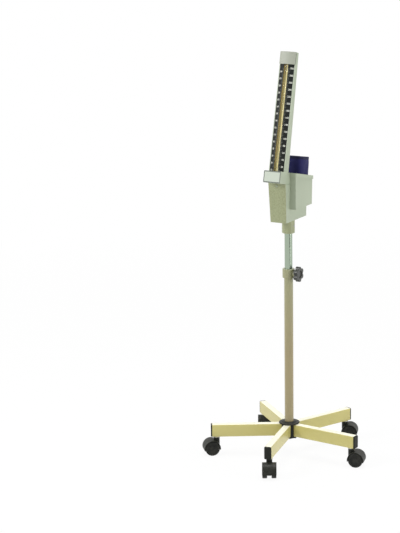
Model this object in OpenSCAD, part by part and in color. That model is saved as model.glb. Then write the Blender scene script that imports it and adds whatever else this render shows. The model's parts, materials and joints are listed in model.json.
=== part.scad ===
// Mercury sphygmomanometer on a height-adjustable stand with five castered legs.
// Millimetres, +Z up. The origin is on the floor, on the axis of the post.
// The scale faces -Y, and +X is to the right of someone who reads it.

/* [Base] */
// Direction of the first leg, in degrees from +X
leg_turn = -6; // [-36:1:36]
// Distance from the post's axis to the outer face of a leg's end cap
leg_reach = 225.5; // [210:0.5:260]
// Height of a leg's tube
leg_h = 36; // [34:0.5:40]
// Width of a leg's tube
leg_w = 20; // [18:0.5:21]
// Wall of a leg's tube
leg_wall = 1.5; // [1:0.1:2]
// Height of the legs' underside above the floor
leg_under = 53.6; // [53:0.2:57]
// Diameter of the hub that holds the legs
hub_d = 49; // [47:0.5:54]
// Diameter of the hub's cover plate
hub_cover_d = 59.5; // [56:0.5:64]

/* [Casters] */
// Diameter of a caster wheel
wheel_d = 42; // [40:1:42]
// Width of one of a caster's two wheels
wheel_w = 14; // [12:0.5:16]
// Gap between a caster's two wheels
wheel_gap = 12; // [11:0.5:14]
// Distance from a caster's swivel axis to its axle
caster_trail = 15; // [14.5:0.5:15.5]
// Distance from the post's axis to a caster's swivel axis
stem_reach = 209; // [195:0.5:209]
// Diameter of a caster's stem
stem_d = 11; // [10:0.5:11]

/* [Post] */
// Outside diameter of the painted outer post
outer_d = 25.4; // [25:0.1:25.4]
// Wall of the outer post
outer_wall = 1.2; // [1:0.1:1.2]
// Outside diameter of the chromed inner post
inner_d = 22.2; // [20:0.1:22.2]
// Wall of the inner post
inner_wall = 1.5; // [1:0.1:2]
// Diameter of the clamp collar
collar_d = 34.7; // [34:0.1:38]
// Height of the clamp collar's top above the floor
collar_top = 545; // [491:1:551]
// Height of the clamp collar
collar_h = 25; // [25:0.5:32]
// Diameter of the clamp knob across its lobes
knob_d = 43.5; // [38:0.5:48]
// Thickness of the clamp knob
knob_t = 15; // [13:0.5:18]
// Number of lobes on the clamp knob
knob_lobes = 6; // [5:1:8]

/* [Case] */
// Height of the case's underside above the floor
case_bottom = 688; // [681:1:701]
// Width of the case at its underside
case_w_bottom = 49.2; // [48:0.1:50]
// Width of the case under the nameplate block
case_w_top = 54; // [53:0.1:55]
// Thickness of the case's walls
case_wall = 2; // [1.5:0.1:2.2]
// Diameter of the socket that sits on the inner post
socket_d = 36.5; // [34:0.5:38]
// Length of the socket below the case
socket_drop = 40; // [30:1:45]

/* [Column] */
// Lean of the scale column, in degrees from upright
tilt = 13.3; // [12.8:0.1:13.8]
// Width of the scale column
column_w = 48; // [47:0.5:48]
// Depth of the column at its top
column_depth_top = 13.5; // [13:0.5:18]
// Depth of the column at the nameplate block
column_depth_low = 25; // [24:0.5:27]
// Slope of the two lands that carry the scale plates, in degrees
land_angle = 24.6; // [20:0.2:26]
// Slope of the cap's two front facets, in degrees
facet_angle = 14.5; // [12:0.5:16]
// Height of the column's cap
cap_h = 34.5; // [30:0.5:38]
// Outside diameter of the glass tube
tube_d = 8; // [7:0.5:8]
// Bore of the glass tube
tube_bore = 3.5; // [3:0.1:4]
// Inside diameter of the mercury reservoir
reservoir_d = 19; // [18:0.5:19]

/* [Bin] */
// Width of the cuff bin
bin_w = 82; // [82:1:90]
// Distance from the post's axis to the middle of the bin's width, to the right
bin_x = 3; // [0:0.5:3]
// Height of the bin's underside above the floor
bin_bottom = 724; // [724:1:729]
// Height of the bin's rim at its front
rim_front = 827; // [821:1:831]
// Height of the bin's rim at its back
rim_back = 803; // [797:1:811]
// Thickness of the bin's walls
bin_wall = 2; // [1.6:0.1:2.5]

/* [Cuff] */
// Width of the rolled cuff from side to side
cuff_w = 60; // [50:1:60]
// Depth of the rolled cuff from front to back
cuff_d = 60; // [46:1:60]
// Length of the roll, which is the width of the cuff's band
cuff_l = 132; // [120:1:137]
// Thickness of one layer of the cuff
cuff_layer = 5; // [4:0.1:5.2]
// Number of layers from the outside of the roll to its core
cuff_turns = 4; // [2:1:4]

/* [Hidden] */
$fn = 64;

// Paints and materials, as red, green and blue
cream = [0.80, 0.76, 0.53];
beige = [0.62, 0.59, 0.47];
grey_green = [0.62, 0.68, 0.58];
hammertone = [0.55, 0.58, 0.44];
black_plastic = [0.13, 0.14, 0.13];
chrome = [0.80, 0.81, 0.82];
steel = [0.62, 0.63, 0.64];
nylon = [0.86, 0.85, 0.80];
ochre = [0.66, 0.57, 0.24];
plate_black = [0.09, 0.10, 0.09];
label_white = [0.80, 0.83, 0.77];
glass_clear = [0.80, 0.88, 0.88, 0.4];
rubber = [0.16, 0.16, 0.16];
navy = [0.16, 0.16, 0.34];

// Clearances: pieces that stay together, and pieces that turn or slide in each other
gap = 0.1;
run = 0.05;

// Base
leg_count = 5;
leg_top = leg_under + leg_h;
leg_inner = 16.2;
leg_corner = 2;
end_cap_t = 4;
end_cap_plug = 12;
hub_floor = 49;
hub_cover_top = leg_top + 6.4;
hub_boss_d = 40;
leg_screw_reach = 20;
leg_screw_d = 5;
hub_bolt_d = 8;
socket_sleeve_d = 14;
sleeve_flange_t = 1.6;

// Casters. Each turns freely, and these are the directions that they trail in at rest.
caster_turns = [14, 20, 118, 220, 298];
axle_z = wheel_d / 2;
axle_d = 6;
wheel_side = wheel_gap / 2;
hood_r = wheel_d / 2 + 2.6;
hood_t = 1.8;
hood_w = wheel_gap + 2 * wheel_w;
hood_low = -14;
hood_high = 190;
web_t = wheel_gap - 1.4;
web_r = 14;
boss_d = 17;
boss_top = leg_under - sleeve_flange_t - 1;
stem_top = leg_top - 6;
stem_step_z = 42;
stem_tail = 8;
stem_tail_d = 7;

// Post
post_foot = 55.2;
post_plug_h = 12;
post_socket = 6.5;
outer_top = collar_top - collar_h + post_socket;
bush_d = 27;
collar_lip = 3;
knob_z = collar_top - 13.5;
knob_x = 22;
clamp_screw_d = 8;
inner_bottom = 181;
inner_top = case_bottom + 27.7;

// Head case: the side outline leans forward, and the flanks spread upwards.
case_front_low = -61.5;
case_front_high = -69.2;
case_high = 799.7;
case_back = 64;
tower_back = -39.3;
case_corner = 2.5;
cover_t = 2.5;
socket_bottom = case_bottom - socket_drop;
socket_top = inner_top + 4;
flange_w = 42;
flange_l = 58;
flange_t = 4;
set_screw_z = socket_bottom + 21;

// Column: measured in its own frame, with z along the column and y from front to back.
column_foot = [0, -67.8, 839];
block_top = -5.5;
block_bottom = -38.5;
block_front = -23.8;
block_w = 52;
block_wall = 2;
column_top = 324.5;
cap_bottom = column_top - cap_h;
half_w = column_w / 2;
margin = 2;
slot_half = 6.3;
slot_floor = 1.8;
strip_t = 0.8;
plate_t = 1.2;
land_x = half_w - margin;
land_y = 0.3;
rear_slope = (column_depth_low - column_depth_top) / (column_top - block_top);
column_wall = 2;
tongue_t = 4;
cap_proud = -0.4;
cap_front = -3.5;
cap_side = 0.5;
cap_shadow = 1.8;
cap_wall = 1.2;
cap_body_back = 11.3;
tube_y = -3.3;
tube_low = -30;
tube_high = 303;

// The mercury falls in the reservoir as it climbs in the tube, so the marks stand closer
// together than the millimetres of mercury that they count.
mark_pitch = 1 / (1 + pow(tube_bore / reservoir_d, 2));
zero_z = -11.7;

// Reservoir: round the foot of the tube, with its surface level with the zero mark
reservoir_wall = 2.5;
reservoir_low = block_bottom + block_wall + gap / 2;
reservoir_high = -9;
reservoir_lid_t = 1.3;
mercury_level = column_foot[2] - tube_y * sin(tilt) + zero_z * cos(tilt);
nipple_y = -9;
nipple_z = -10.9;
nozzle_y = -26;
nozzle_z = 706;

// Inner air hose, from the reservoir's nipple down the case to the nozzle
hose_d = 5;
hose_sides = 12;
hose_steps = 5;
hose_way = [[-12.5, -79.2, 830.4], [-17, -79, 829.5], [-20, -78, 821], [-19.8, -71.4, 811],
    [-19.5, -62.6, 798], [-17.5, -56, 783], [-9, -51, 763], [2, -48, 745], [9, -48, 731],
    [10, -44, 718], [6, -33, 708.5], [-5, -26.6, 706.2], [-14, -26, 706], [-22, -26, 706]];

// Bin
bin_front = -39;
bin_back_low = 64;
bin_lean = 5.4;
lip_h = 10;
lip_t = 2.3;
lip_gap = 27;
bin_rib_x = -20.1;
bin_rib_h = 1.4;
rim_slope = atan((rim_front - rim_back) / (bin_back_low + bin_lean - bin_front));

// Cuff: stands in the bin and leans back as the column does
cuff_lean = 10;
cuff_foot = [11, 12.4, bin_bottom + bin_wall + gap + cuff_d / 2 * sin(cuff_lean)];
cuff_square = 5;
cuff_gap = 0.6;
cuff_corner = 17;
cuff_points = 32;

// ---------------------------------------------------------------- common shapes

// A rectangle about the origin with round corners
module rounded_rect(w, h, r) {
    square([w - 2 * r, h], center = true);
    square([w, h - 2 * r], center = true);
    for (sx = [-1, 1], sy = [-1, 1])
        translate([sx * (w / 2 - r), sy * (h / 2 - r)])
            circle(r);
}

// A rectangle between two corners with round corners
module rounded_span(x0, x1, y0, y1, r) {
    translate([(x0 + x1) / 2, (y0 + y1) / 2])
        rounded_rect(x1 - x0, y1 - y0, r);
}

module ring(d, bore, h) {
    difference() {
        cylinder(d = d, h = h);
        translate([0, 0, -1])
            cylinder(d = bore, h = h + 2);
    }
}

// A pan-head screw with a cross recess, pointing down from a head that stands on z = 0
module pan_screw(d, head_d, head_h, shank) {
    difference() {
        union() {
            cylinder(d1 = head_d, d2 = head_d * 0.7, h = head_h);
            translate([0, 0, -shank])
                cylinder(d = d, h = shank + 0.1);
        }
        for (turn = [0, 90])
            rotate(turn)
                translate([-head_d * 0.28, -head_d * 0.06, head_h * 0.4])
                    cube([head_d * 0.56, head_d * 0.12, head_h]);
    }
}

module at_leg(i) {
    rotate(leg_turn + 360 / leg_count * i)
        children();
}

// ---------------------------------------------------------------- base

module hub() {
    color(black_plastic)
        difference() {
            translate([0, 0, hub_floor])
                cylinder(d = hub_d, h = leg_top - hub_floor);
            translate([0, 0, post_foot - gap])
                cylinder(d = outer_d + 2 * gap, h = leg_h + 10);
            translate([0, 0, hub_floor - 1])
                cylinder(d = hub_bolt_d + 0.4, h = 20);
            for (i = [0 : leg_count - 1])
                at_leg(i) {
                    translate([leg_inner - 0.2, -leg_w / 2 - gap, leg_under])
                        cube([hub_d, leg_w + 2 * gap, leg_h + 5]);
                    translate([leg_screw_reach, 0, hub_floor - 1])
                        cylinder(d = leg_screw_d + 0.4, h = 10);
                }
        }
}

// Round plate over the legs' inner ends, with a raised collar round the post
module hub_cover() {
    bore = outer_d / 2 + gap;
    rim = hub_cover_d / 2;
    boss = hub_boss_d / 2;
    color(black_plastic)
        rotate_extrude()
            polygon([[bore, leg_top], [rim - 1, leg_top], [rim, leg_top + 1],
                [rim, leg_top + 2.6], [rim - 1.4, leg_top + 3.8], [boss + 1.5, leg_top + 4.4],
                [boss, hub_cover_top - 0.6], [boss - 1, hub_cover_top],
                [bore, hub_cover_top]]);
}

// Central bolt from below, with its washer
module hub_bolt() {
    washer_t = 2;
    head_h = 5.3;
    color(steel) {
        translate([0, 0, hub_floor - washer_t])
            ring(24, hub_bolt_d + 0.4, washer_t);
        translate([0, 0, hub_floor - washer_t - head_h])
            cylinder(d = 13 / cos(30), h = head_h, $fn = 6);
        translate([0, 0, hub_floor - washer_t - 0.1])
            cylinder(d = hub_bolt_d, h = 16);
    }
}

module leg(i) {
    length = leg_reach - end_cap_t - leg_inner;
    color(cream)
        at_leg(i)
            difference() {
                translate([leg_inner, 0, leg_under + leg_h / 2])
                    rotate([90, 0, 90])
                        linear_extrude(length)
                            difference() {
                                rounded_rect(leg_w, leg_h, leg_corner);
                                rounded_rect(leg_w - 2 * leg_wall, leg_h - 2 * leg_wall,
                                    leg_corner - leg_wall + 0.3);
                            }
                translate([stem_reach, 0, leg_under - 1])
                    cylinder(d = socket_sleeve_d + 2 * gap, h = leg_wall + 2);
                translate([leg_screw_reach, 0, leg_under - 1])
                    cylinder(d = leg_screw_d, h = leg_wall + 2);
            }
}

// Black plugs that close the legs' outer ends
module leg_end_caps() {
    inner_w = leg_w - 2 * leg_wall - 2 * gap;
    inner_h = leg_h - 2 * leg_wall - 2 * gap;
    stem_clear = leg_reach - end_cap_t - stem_reach - socket_sleeve_d / 2 - 1;
    plug = min(end_cap_plug, stem_clear);
    color(black_plastic)
        for (i = [0 : leg_count - 1])
            at_leg(i)
                translate([0, 0, leg_under + leg_h / 2])
                    rotate([90, 0, 90]) {
                        translate([0, 0, leg_reach - end_cap_t])
                            linear_extrude(end_cap_t - 1)
                                rounded_rect(leg_w, leg_h, 3);
                        translate([0, 0, leg_reach - 1])
                            linear_extrude(1)
                                rounded_rect(leg_w - 1.6, leg_h - 1.6, 3);
                        translate([0, 0, leg_reach - end_cap_t - plug])
                            linear_extrude(plug)
                                difference() {
                                    rounded_rect(inner_w, inner_h, 1);
                                    rounded_rect(inner_w - 4, inner_h - 4, 1);
                                }
                    }
}

module leg_screws() {
    color(steel)
        for (i = [0 : leg_count - 1])
            at_leg(i)
                translate([leg_screw_reach, 0, hub_floor])
                    rotate([180, 0, 0])
                        pan_screw(leg_screw_d, 8.4, 2.8, 8);
}

// Sleeves in the legs' outer ends, in which the caster stems turn
module caster_sockets() {
    color(nylon)
        for (i = [0 : leg_count - 1])
            at_leg(i)
                translate([stem_reach, 0, leg_under]) {
                    ring(socket_sleeve_d, stem_d + 2 * run, leg_h - leg_wall - 1);
                    translate([0, 0, -sleeve_flange_t])
                        ring(20, stem_d + 2 * run, sleeve_flange_t);
                }
}

// ---------------------------------------------------------------- casters

// Puts children at a caster: z is its swivel axis, x the way it trails and y its axle
module at_caster(i) {
    at_leg(i)
        translate([stem_reach, 0, 0])
            rotate(caster_turns[i] - leg_turn - 360 / leg_count * i)
                children();
}

// A slice of a disc about the axle, seen along it, between two angles from the trailing side
module sector(r, from, to) {
    reach = 2 * r;
    steps = 6;
    intersection() {
        circle(r, $fn = 96);
        polygon(concat([[0, 0]],
            [for (k = [0 : steps]) let(a = from + (to - from) * k / steps)
                [reach * cos(a), reach * sin(a)]]));
    }
}

// Moulded body: a central web that carries the axle and the stem, and a hood over the wheels
module caster_hood(i) {
    boss_low = axle_z + 8;
    color(black_plastic)
        at_caster(i)
            difference() {
                union() {
                    on_axle(hood_w)
                        linear_extrude(hood_w)
                            sector(hood_r, hood_low, hood_high);
                    on_axle(web_t)
                        cylinder(r = web_r, h = web_t);
                    translate([0, 0, boss_low])
                        cylinder(d = boss_d, h = boss_top - boss_low);
                }
                for (side = [-1, 1])
                    translate([0, side * (web_t / 2 + 20), 0])
                        on_axle(40)
                            cylinder(r = hood_r - hood_t, h = 40);
                translate([0, 0, stem_step_z - gap])
                    cylinder(d = stem_d + 2 * gap, h = 40);
                translate([0, 0, stem_step_z - stem_tail - 0.5])
                    cylinder(d = stem_tail_d + 2 * gap, h = 20);
                on_axle(hood_w)
                    cylinder(d = axle_d + 2 * gap, h = hood_w);
            }
}

// Puts children on the axle, from half their length on one side of the caster's middle
module on_axle(length) {
    translate([caster_trail, length / 2, axle_z])
        rotate([90, 0, 0])
            children();
}

// Stem and axle of a caster
module caster_pins(i) {
    color(steel)
        at_caster(i) {
            translate([0, 0, stem_step_z])
                cylinder(d = stem_d, h = stem_top - stem_step_z);
            translate([0, 0, stem_step_z - stem_tail])
                cylinder(d = stem_tail_d, h = stem_tail + 0.1);
            translate([caster_trail, 0, axle_z])
                rotate([90, 0, 0])
                    cylinder(d = axle_d, h = hood_w - 5, center = true);
        }
}

// One wheel: tread with rounded shoulders, a dished face and a blind bore for the axle
module caster_wheel(i, side) {
    r = wheel_d / 2;
    bore = axle_d / 2 + run;
    color(black_plastic)
        at_caster(i)
            translate([caster_trail, side * wheel_side, axle_z])
                rotate([-90 * side, 0, 0])
                    rotate_extrude($fn = 96)
                        difference() {
                            union() {
                                translate([0, 0])
                                    square([r - 2.5, wheel_w - 0.4]);
                                translate([0, 2.5])
                                    square([r, wheel_w - 5.4]);
                                translate([r - 2.5, 2.5])
                                    circle(2.5);
                                translate([r - 2.5, wheel_w - 2.9])
                                    circle(2.5);
                            }
                            polygon([[-1, -1], [bore, -1], [bore, wheel_w - 2.2], [-1, wheel_w - 2.2]]);
                            polygon([[8, wheel_w - 1.6], [9.2, wheel_w + 1], [r - 7, wheel_w + 1],
                                [r - 5.8, wheel_w - 1.6]]);
                            polygon([[-4, -4], [0, -4], [0, wheel_w + 4], [-4, wheel_w + 4]]);
                            polygon([[r - 6, -1], [r - 6, 5], [5.5, 5], [5.5, -1]]);
                        }
}

// ---------------------------------------------------------------- post

// Painted tube with a welded plug at its foot for the hub bolt
module outer_post() {
    color(beige)
        difference() {
            translate([0, 0, post_foot])
                cylinder(d = outer_d, h = outer_top - post_foot);
            translate([0, 0, post_foot + post_plug_h])
                cylinder(d = outer_d - 2 * outer_wall, h = outer_top);
            translate([0, 0, post_foot - 1])
                cylinder(d = hub_bolt_d + 2 * run, h = post_plug_h + 2);
        }
}

// Collar on the outer post's top, with the threaded boss of the clamp screw
module clamp_collar() {
    foot = collar_top - collar_h;
    color(beige)
        difference() {
            union() {
                translate([0, 0, foot])
                    cylinder(d = collar_d, h = collar_h - 1);
                translate([0, 0, collar_top - 1])
                    cylinder(d1 = collar_d, d2 = collar_d - 2, h = 1);
                translate([0, 0, knob_z])
                    rotate([0, 90, 0])
                        cylinder(d = 15, h = knob_x - 1);
            }
            translate([0, 0, foot - 1])
                cylinder(d = outer_d + 2 * gap, h = post_socket + 1 + gap);
            translate([0, 0, foot + post_socket])
                cylinder(d = bush_d + 2 * gap, h = collar_h - post_socket - collar_lip);
            translate([0, 0, collar_top - collar_lip - 1])
                cylinder(d = inner_d + 0.8, h = collar_lip + 2);
            translate([bush_d / 2 - 1, 0, knob_z])
                rotate([0, 90, 0])
                    cylinder(d = clamp_screw_d + 2 * run, h = 20);
        }
}

// Nylon bush in the collar that guides the inner post
module collar_bush() {
    low = collar_top - collar_h + post_socket + gap;
    high = collar_top - collar_lip - gap;
    color(nylon)
        difference() {
            translate([0, 0, low])
                ring(bush_d, inner_d + 2 * run, high - low);
            translate([0, 0, knob_z])
                rotate([0, 90, 0])
                    cylinder(d = clamp_screw_d + 0.8, h = 20);
        }
}

module knob_outline() {
    lobe_r = knob_d * 0.165;
    circle(knob_d / 2 - lobe_r * 0.72);
    for (k = [0 : knob_lobes - 1])
        rotate(360 / knob_lobes * k)
            translate([knob_d / 2 - lobe_r, 0])
                circle(lobe_r);
}

// Lobed knob with a recessed face and a round boss behind
module clamp_knob() {
    boss_l = 3;
    color(black_plastic)
        translate([knob_x, 0, knob_z])
            rotate([0, 90, 0])
                difference() {
                    union() {
                        cylinder(d = 17, h = boss_l + 0.1);
                        translate([0, 0, boss_l])
                            linear_extrude(knob_t - boss_l)
                                knob_outline();
                    }
                    translate([0, 0, knob_t - 2.5])
                        cylinder(d = knob_d * 0.5, h = 4);
                    translate([0, 0, -1])
                        cylinder(d = clamp_screw_d, h = knob_t - 4);
                }
}

module clamp_screw() {
    tip = inner_d / 2 + 0.35;
    color(steel)
        translate([tip, 0, knob_z])
            rotate([0, 90, 0])
                cylinder(d = clamp_screw_d, h = knob_x + knob_t - 5.2 - tip);
}

module inner_post() {
    color(chrome)
        translate([0, 0, inner_bottom])
            ring(inner_d, inner_d - 2 * inner_wall, inner_top - inner_bottom);
}

// Nylon foot of the inner post, which slides in the outer post
module post_guide() {
    color(nylon) {
        translate([0, 0, inner_bottom - 12])
            cylinder(d = outer_d - 2 * outer_wall - 2 * run, h = 12);
        translate([0, 0, inner_bottom - 0.1])
            cylinder(d = inner_d - 2 * inner_wall - 2 * gap, h = 16);
    }
}

// ---------------------------------------------------------------- head case

// Socket with a flange inside the case; the inner post's top stands in it
module socket_tube() {
    chamfer = 1.5;
    color(beige)
        difference() {
            union() {
                translate([0, 0, socket_bottom])
                    cylinder(d1 = socket_d - 2 * chamfer, d2 = socket_d, h = chamfer);
                translate([0, 0, socket_bottom + chamfer])
                    cylinder(d = socket_d, h = socket_top - socket_bottom - chamfer);
                translate([-flange_w / 2, -flange_l / 2, case_bottom + case_wall])
                    cube([flange_w, flange_l, flange_t]);
            }
            translate([0, 0, socket_bottom - 1])
                cylinder(d = inner_d + 2 * run, h = inner_top + 0.3 - socket_bottom + 1);
            translate([0, 0, set_screw_z])
                rotate([0, 90, 0])
                    cylinder(d = 6, h = socket_d);
            flange_screw_places()
                translate([0, 0, case_wall - 1])
                    cylinder(d = 3, h = 20);
        }
}

// Grub screw that locks the head on the post
module socket_screw() {
    tip = inner_d / 2 + 0.35;
    length = socket_d / 2 + 0.4 - tip;
    color(black_plastic)
        translate([tip, 0, set_screw_z])
            rotate([0, 90, 0])
                difference() {
                    cylinder(d = 6, h = length);
                    translate([0, 0, length - 3])
                        cylinder(d = 3.5, h = 4, $fn = 6);
                }
}

// Half-width of the case's flank at height z
function flank(z) = (case_w_bottom + (case_w_top - case_w_bottom)
    * (z - case_bottom) / (case_high - case_bottom)) / 2;

// Front of the case at height z
function front(z) = case_front_low + (case_front_high - case_front_low)
    * (z - case_bottom) / (case_high - case_bottom);

// Lean of the case's front, in degrees from upright
front_lean = atan((case_front_low - case_front_high) / (case_high - case_bottom));

// One level of the case's outline, drawn in by the amount inset
module case_level(z, back, inset) {
    translate([0, 0, z])
        linear_extrude(0.01)
            rounded_span(-flank(z) + inset, flank(z) - inset, front(z) + inset, back - inset,
                max(case_corner - inset, 0.5), $fn = 32);
}

// Front tower and rear foot of the case as one form
module case_form(inset, floor_z, shelf_z) {
    hull() {
        case_level(floor_z, tower_back, inset);
        case_level(case_high + 4, tower_back, inset);
    }
    hull() {
        case_level(floor_z, case_back, inset);
        case_level(shelf_z, case_back, inset);
    }
}

// The space in front of a plane at a given depth behind the case's leaning front
module ahead_of_front(depth) {
    translate([0, case_front_low, case_bottom])
        rotate([front_lean, 0, 0])
            translate([-60, -60 + depth, -20])
                cube([120, 60, 160]);
}

// The space above the sloped plane on which the nameplate block stands
module above_case() {
    in_column()
        translate([-60, -60, block_bottom])
            cube([120, 140, 60]);
}

module case_body() {
    color(grey_green)
        difference() {
            case_form(0, case_bottom, bin_bottom - 0.01);
            case_form(case_wall, case_bottom + case_wall, bin_bottom - case_wall);
            ahead_of_front(cover_t + gap);
            above_case();
            translate([0, 0, case_bottom - 1])
                cylinder(d = socket_d + 2 * gap, h = case_wall + 2);
            flange_screw_places()
                translate([0, 0, -1])
                    cylinder(d = 3.4, h = case_wall + 2);
            translate([-60, nozzle_y, nozzle_z])
                rotate([0, 90, 0])
                    cylinder(d = 7 + 2 * gap, h = 60);
            bin_screw_places()
                translate([0, 0, -6])
                    cylinder(d = 3, h = 10);
        }
}

// Front cover with the hammered paint
module front_cover() {
    color(hammertone)
        difference() {
            intersection() {
                hull() {
                    case_level(case_bottom, tower_back, 0);
                    case_level(case_high + 4, tower_back, 0);
                }
                ahead_of_front(cover_t);
            }
            above_case();
            at_cover_screw()
                translate([0, 0, -10])
                    cylinder(d = 3.4, h = 20);
        }
}

module at_cover_screw() {
    translate([0, front(792), 792])
        rotate([90 + front_lean, 0, 0])
            children();
}

// ---------------------------------------------------------------- column

module in_column() {
    translate(column_foot)
        rotate([-tilt, 0, 0])
            children();
}

// Depth of the column's rear face at height z along it
function rear(z) = column_depth_top + (column_top - z) * rear_slope;

// Depth of a scale plate's face at distance x from the tube, drawn in by the amount inset
function land(x, inset) = land_y - (land_x - x) * tan(land_angle) + inset / cos(land_angle);

// The space behind a plane inside the column's rear face
module behind(inset) {
    translate([-40, 0, 0])
        rotate([90, 0, 90])
            linear_extrude(80)
                polygon([[rear(-60) - inset, -60], [80, -60], [80, 340], [rear(340) - inset, 340]]);
}

// Plan of the column's front with its two lands and the slot for the tube between them
module front_plan(back_y) {
    polygon([[-half_w, 0], [-land_x, 0], [-land_x, land(land_x, plate_t)],
        [-slot_half, land(slot_half, plate_t)], [-slot_half, slot_floor],
        [slot_half, slot_floor], [slot_half, land(slot_half, plate_t)],
        [land_x, land(land_x, plate_t)], [land_x, 0], [half_w, 0], [half_w, back_y],
        [-half_w, back_y]]);
}

// Plan of the hollow behind the lands
module hollow_plan(back_y) {
    side = half_w - column_wall;
    mouth = slot_half + column_wall;
    skin = plate_t + column_wall;
    polygon([[-side, land(side, skin)], [-mouth, land(mouth, skin)],
        [-mouth, slot_floor + column_wall], [mouth, slot_floor + column_wall],
        [mouth, land(mouth, skin)], [side, land(side, skin)], [side, back_y], [-side, back_y]]);
}

// Painted housing of the scale, with a slot for the tube and lands for the scale plates. Its
// tongue stands on the floor of the nameplate block, and its top takes the body of the cap.
module column() {
    low = block_bottom + block_wall + 0.05;
    shelf = cap_side + cap_shadow;
    color(grey_green)
        in_column()
            difference() {
                union() {
                    translate([0, 0, block_top])
                        linear_extrude(column_top - 0.6 - block_top)
                            front_plan(40);
                    translate([-half_w + 2.2, 12, low])
                        cube([column_w - 4.4, 30, block_top + 1 - low]);
                }
                behind(0);
                difference() {
                    translate([0, 0, block_top - 1])
                        linear_extrude(cap_bottom - 1 - block_top)
                            hollow_plan(40);
                    behind(column_wall);
                }
                difference() {
                    translate([-half_w, 8, low - 1])
                        cube([column_w, 34, block_top - low + 1]);
                    behind(tongue_t);
                }
                translate([-half_w - 1, -20, cap_bottom])
                    cube([column_w + 2, 20 + shelf, cap_h]);
                difference() {
                    translate([-half_w + 2.4, -10, cap_bottom])
                        cube([column_w - 4.8, 40, cap_h]);
                    behind(column_wall);
                }
                cap_screw_places()
                    translate([0, 0, -20])
                        cylinder(d = 3.4, h = 40);
            }
}

// Plan of the cap: two facets that meet at a ridge, drawn in by the amount inset
module cap_plan(inset, back_y) {
    w = half_w + cap_proud - inset;
    point = cap_front - (half_w + cap_proud) * tan(facet_angle) + inset / cos(facet_angle);
    shoulder = point + w * tan(facet_angle);
    polygon([[-w, shoulder], [0, point], [w, shoulder], [w, back_y], [-w, back_y]]);
}

// Cap over the column's top: a thin faceted front, and a body behind it with a shadow gap
module column_cap() {
    body_w = column_w - 5.2;
    color(grey_green)
        in_column()
            difference() {
                union() {
                    translate([0, 0, cap_bottom])
                        linear_extrude(cap_h)
                            cap_plan(0, cap_side);
                    translate([-body_w / 2, 0, cap_bottom + gap])
                        cube([body_w, cap_body_back, cap_h - 0.8 - gap]);
                }
                translate([0, 0, cap_bottom - 1])
                    linear_extrude(cap_h - 1)
                        cap_plan(cap_wall, -0.7);
                translate([-body_w / 2 + 2, -1, cap_bottom - 1])
                    cube([body_w - 4, cap_body_back - 1, cap_h - 1.8]);
                cap_screw_places()
                    translate([0, 0, -8])
                        cylinder(d = 3, h = 18);
            }
}

// Places of the two screws that hold the cap from behind, in the column's frame
module cap_screw_places() {
    for (sx = [-1, 1])
        translate([sx * 13, rear(307), 307])
            rotate([atan(rear_slope) - 90, 0, 0])
                children();
}

// Thin plate on one of the column's lands
module scale_plate(side) {
    spare = 0.15;
    color(plate_black)
        in_column()
            translate([0, 0, block_top + spare])
                linear_extrude(cap_bottom - block_top - 2 * spare)
                    mirror([side < 0 ? 1 : 0, 0])
                        polygon([[land_x - gap, land(land_x - gap, 0)],
                            [slot_half + gap, land(slot_half + gap, 0)],
                            [slot_half + gap, land(slot_half + gap, plate_t - 0.05)],
                            [land_x - gap, land(land_x - gap, plate_t - 0.05)]]);
}

module scale_plate_left() {
    scale_plate(-1);
}

module scale_plate_right() {
    scale_plate(1);
}

// Coloured strip behind the glass tube
module tube_backing() {
    low = block_top + 0.2;
    color(ochre)
        in_column()
            translate([-slot_half + gap, slot_floor - strip_t - 0.05, low])
                cube([2 * (slot_half - gap), strip_t, cap_bottom - low - gap]);
}

module at_tube(z) {
    in_column()
        translate([0, tube_y, z])
            children();
}

module glass_tube() {
    color(glass_clear)
        at_tube(tube_low)
            ring(tube_d, tube_bore, tube_high - tube_low);
}

// Rubber rings round the tube where it enters the reservoir and the vent
module tube_seals() {
    color(rubber) {
        at_tube(reservoir_high + reservoir_lid_t)
            ring(12, tube_d + 0.1, 1.9);
        at_tube(tube_high + gap)
            ring(tube_d, tube_bore, 1.2);
    }
}

// Vented fitting over the tube's top, which lets air in and keeps mercury back
module top_vent() {
    color(steel)
        at_tube(tube_high - 6)
            difference() {
                cylinder(d = 9.2, h = 14);
                translate([0, 0, -1])
                    cylinder(d = tube_d + 2 * run, h = 6 + 1 + 1.2 + 2 * gap);
                cylinder(d = 2, h = 20);
            }
}

// Block under the column, which covers the reservoir and carries the nameplate
module nameplate_block() {
    inner_w = block_w - 2 * block_wall;
    inner_h = block_top - block_bottom - 2 * block_wall;
    color(grey_green)
        difference() {
            in_column()
                difference() {
                    at_block_middle(block_front)
                        linear_extrude(80)
                            rounded_rect(block_w, block_top - block_bottom, 1.5);
                    translate([-inner_w / 2, block_front + block_wall, block_bottom + block_wall])
                        cube([inner_w, 80, inner_h]);
                    translate([-half_w - gap, rear(block_top) - tongue_t - 3, block_top - 5])
                        cube([column_w + 2 * gap, tongue_t + 3.2, 10]);
                    translate([0, tube_y, block_top - 5])
                        cylinder(d = 12.6, h = 10);
                    translate([-19.6, 13.1, block_bottom - 1])
                        cylinder(d = 10, h = 4);
                    at_block_middle(block_front - 1)
                        linear_extrude(1.6)
                            rounded_rect(47, 27, 1);
                }
            translate([-60, tower_back, case_bottom])
                cube([120, 100, 300]);
        }
}

// Puts children on the block's front face, with z going into the block
module at_block_middle(y) {
    translate([0, y, (block_bottom + block_top) / 2])
        rotate([-90, 0, 0])
            children();
}

// Plain plate in the recess of the block
module nameplate() {
    color(label_white)
        in_column()
            at_block_middle(block_front - 0.2)
                linear_extrude(0.8)
                    rounded_rect(46.6, 26.6, 0.9);
}

// ---------------------------------------------------------------- mercury and air

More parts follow.
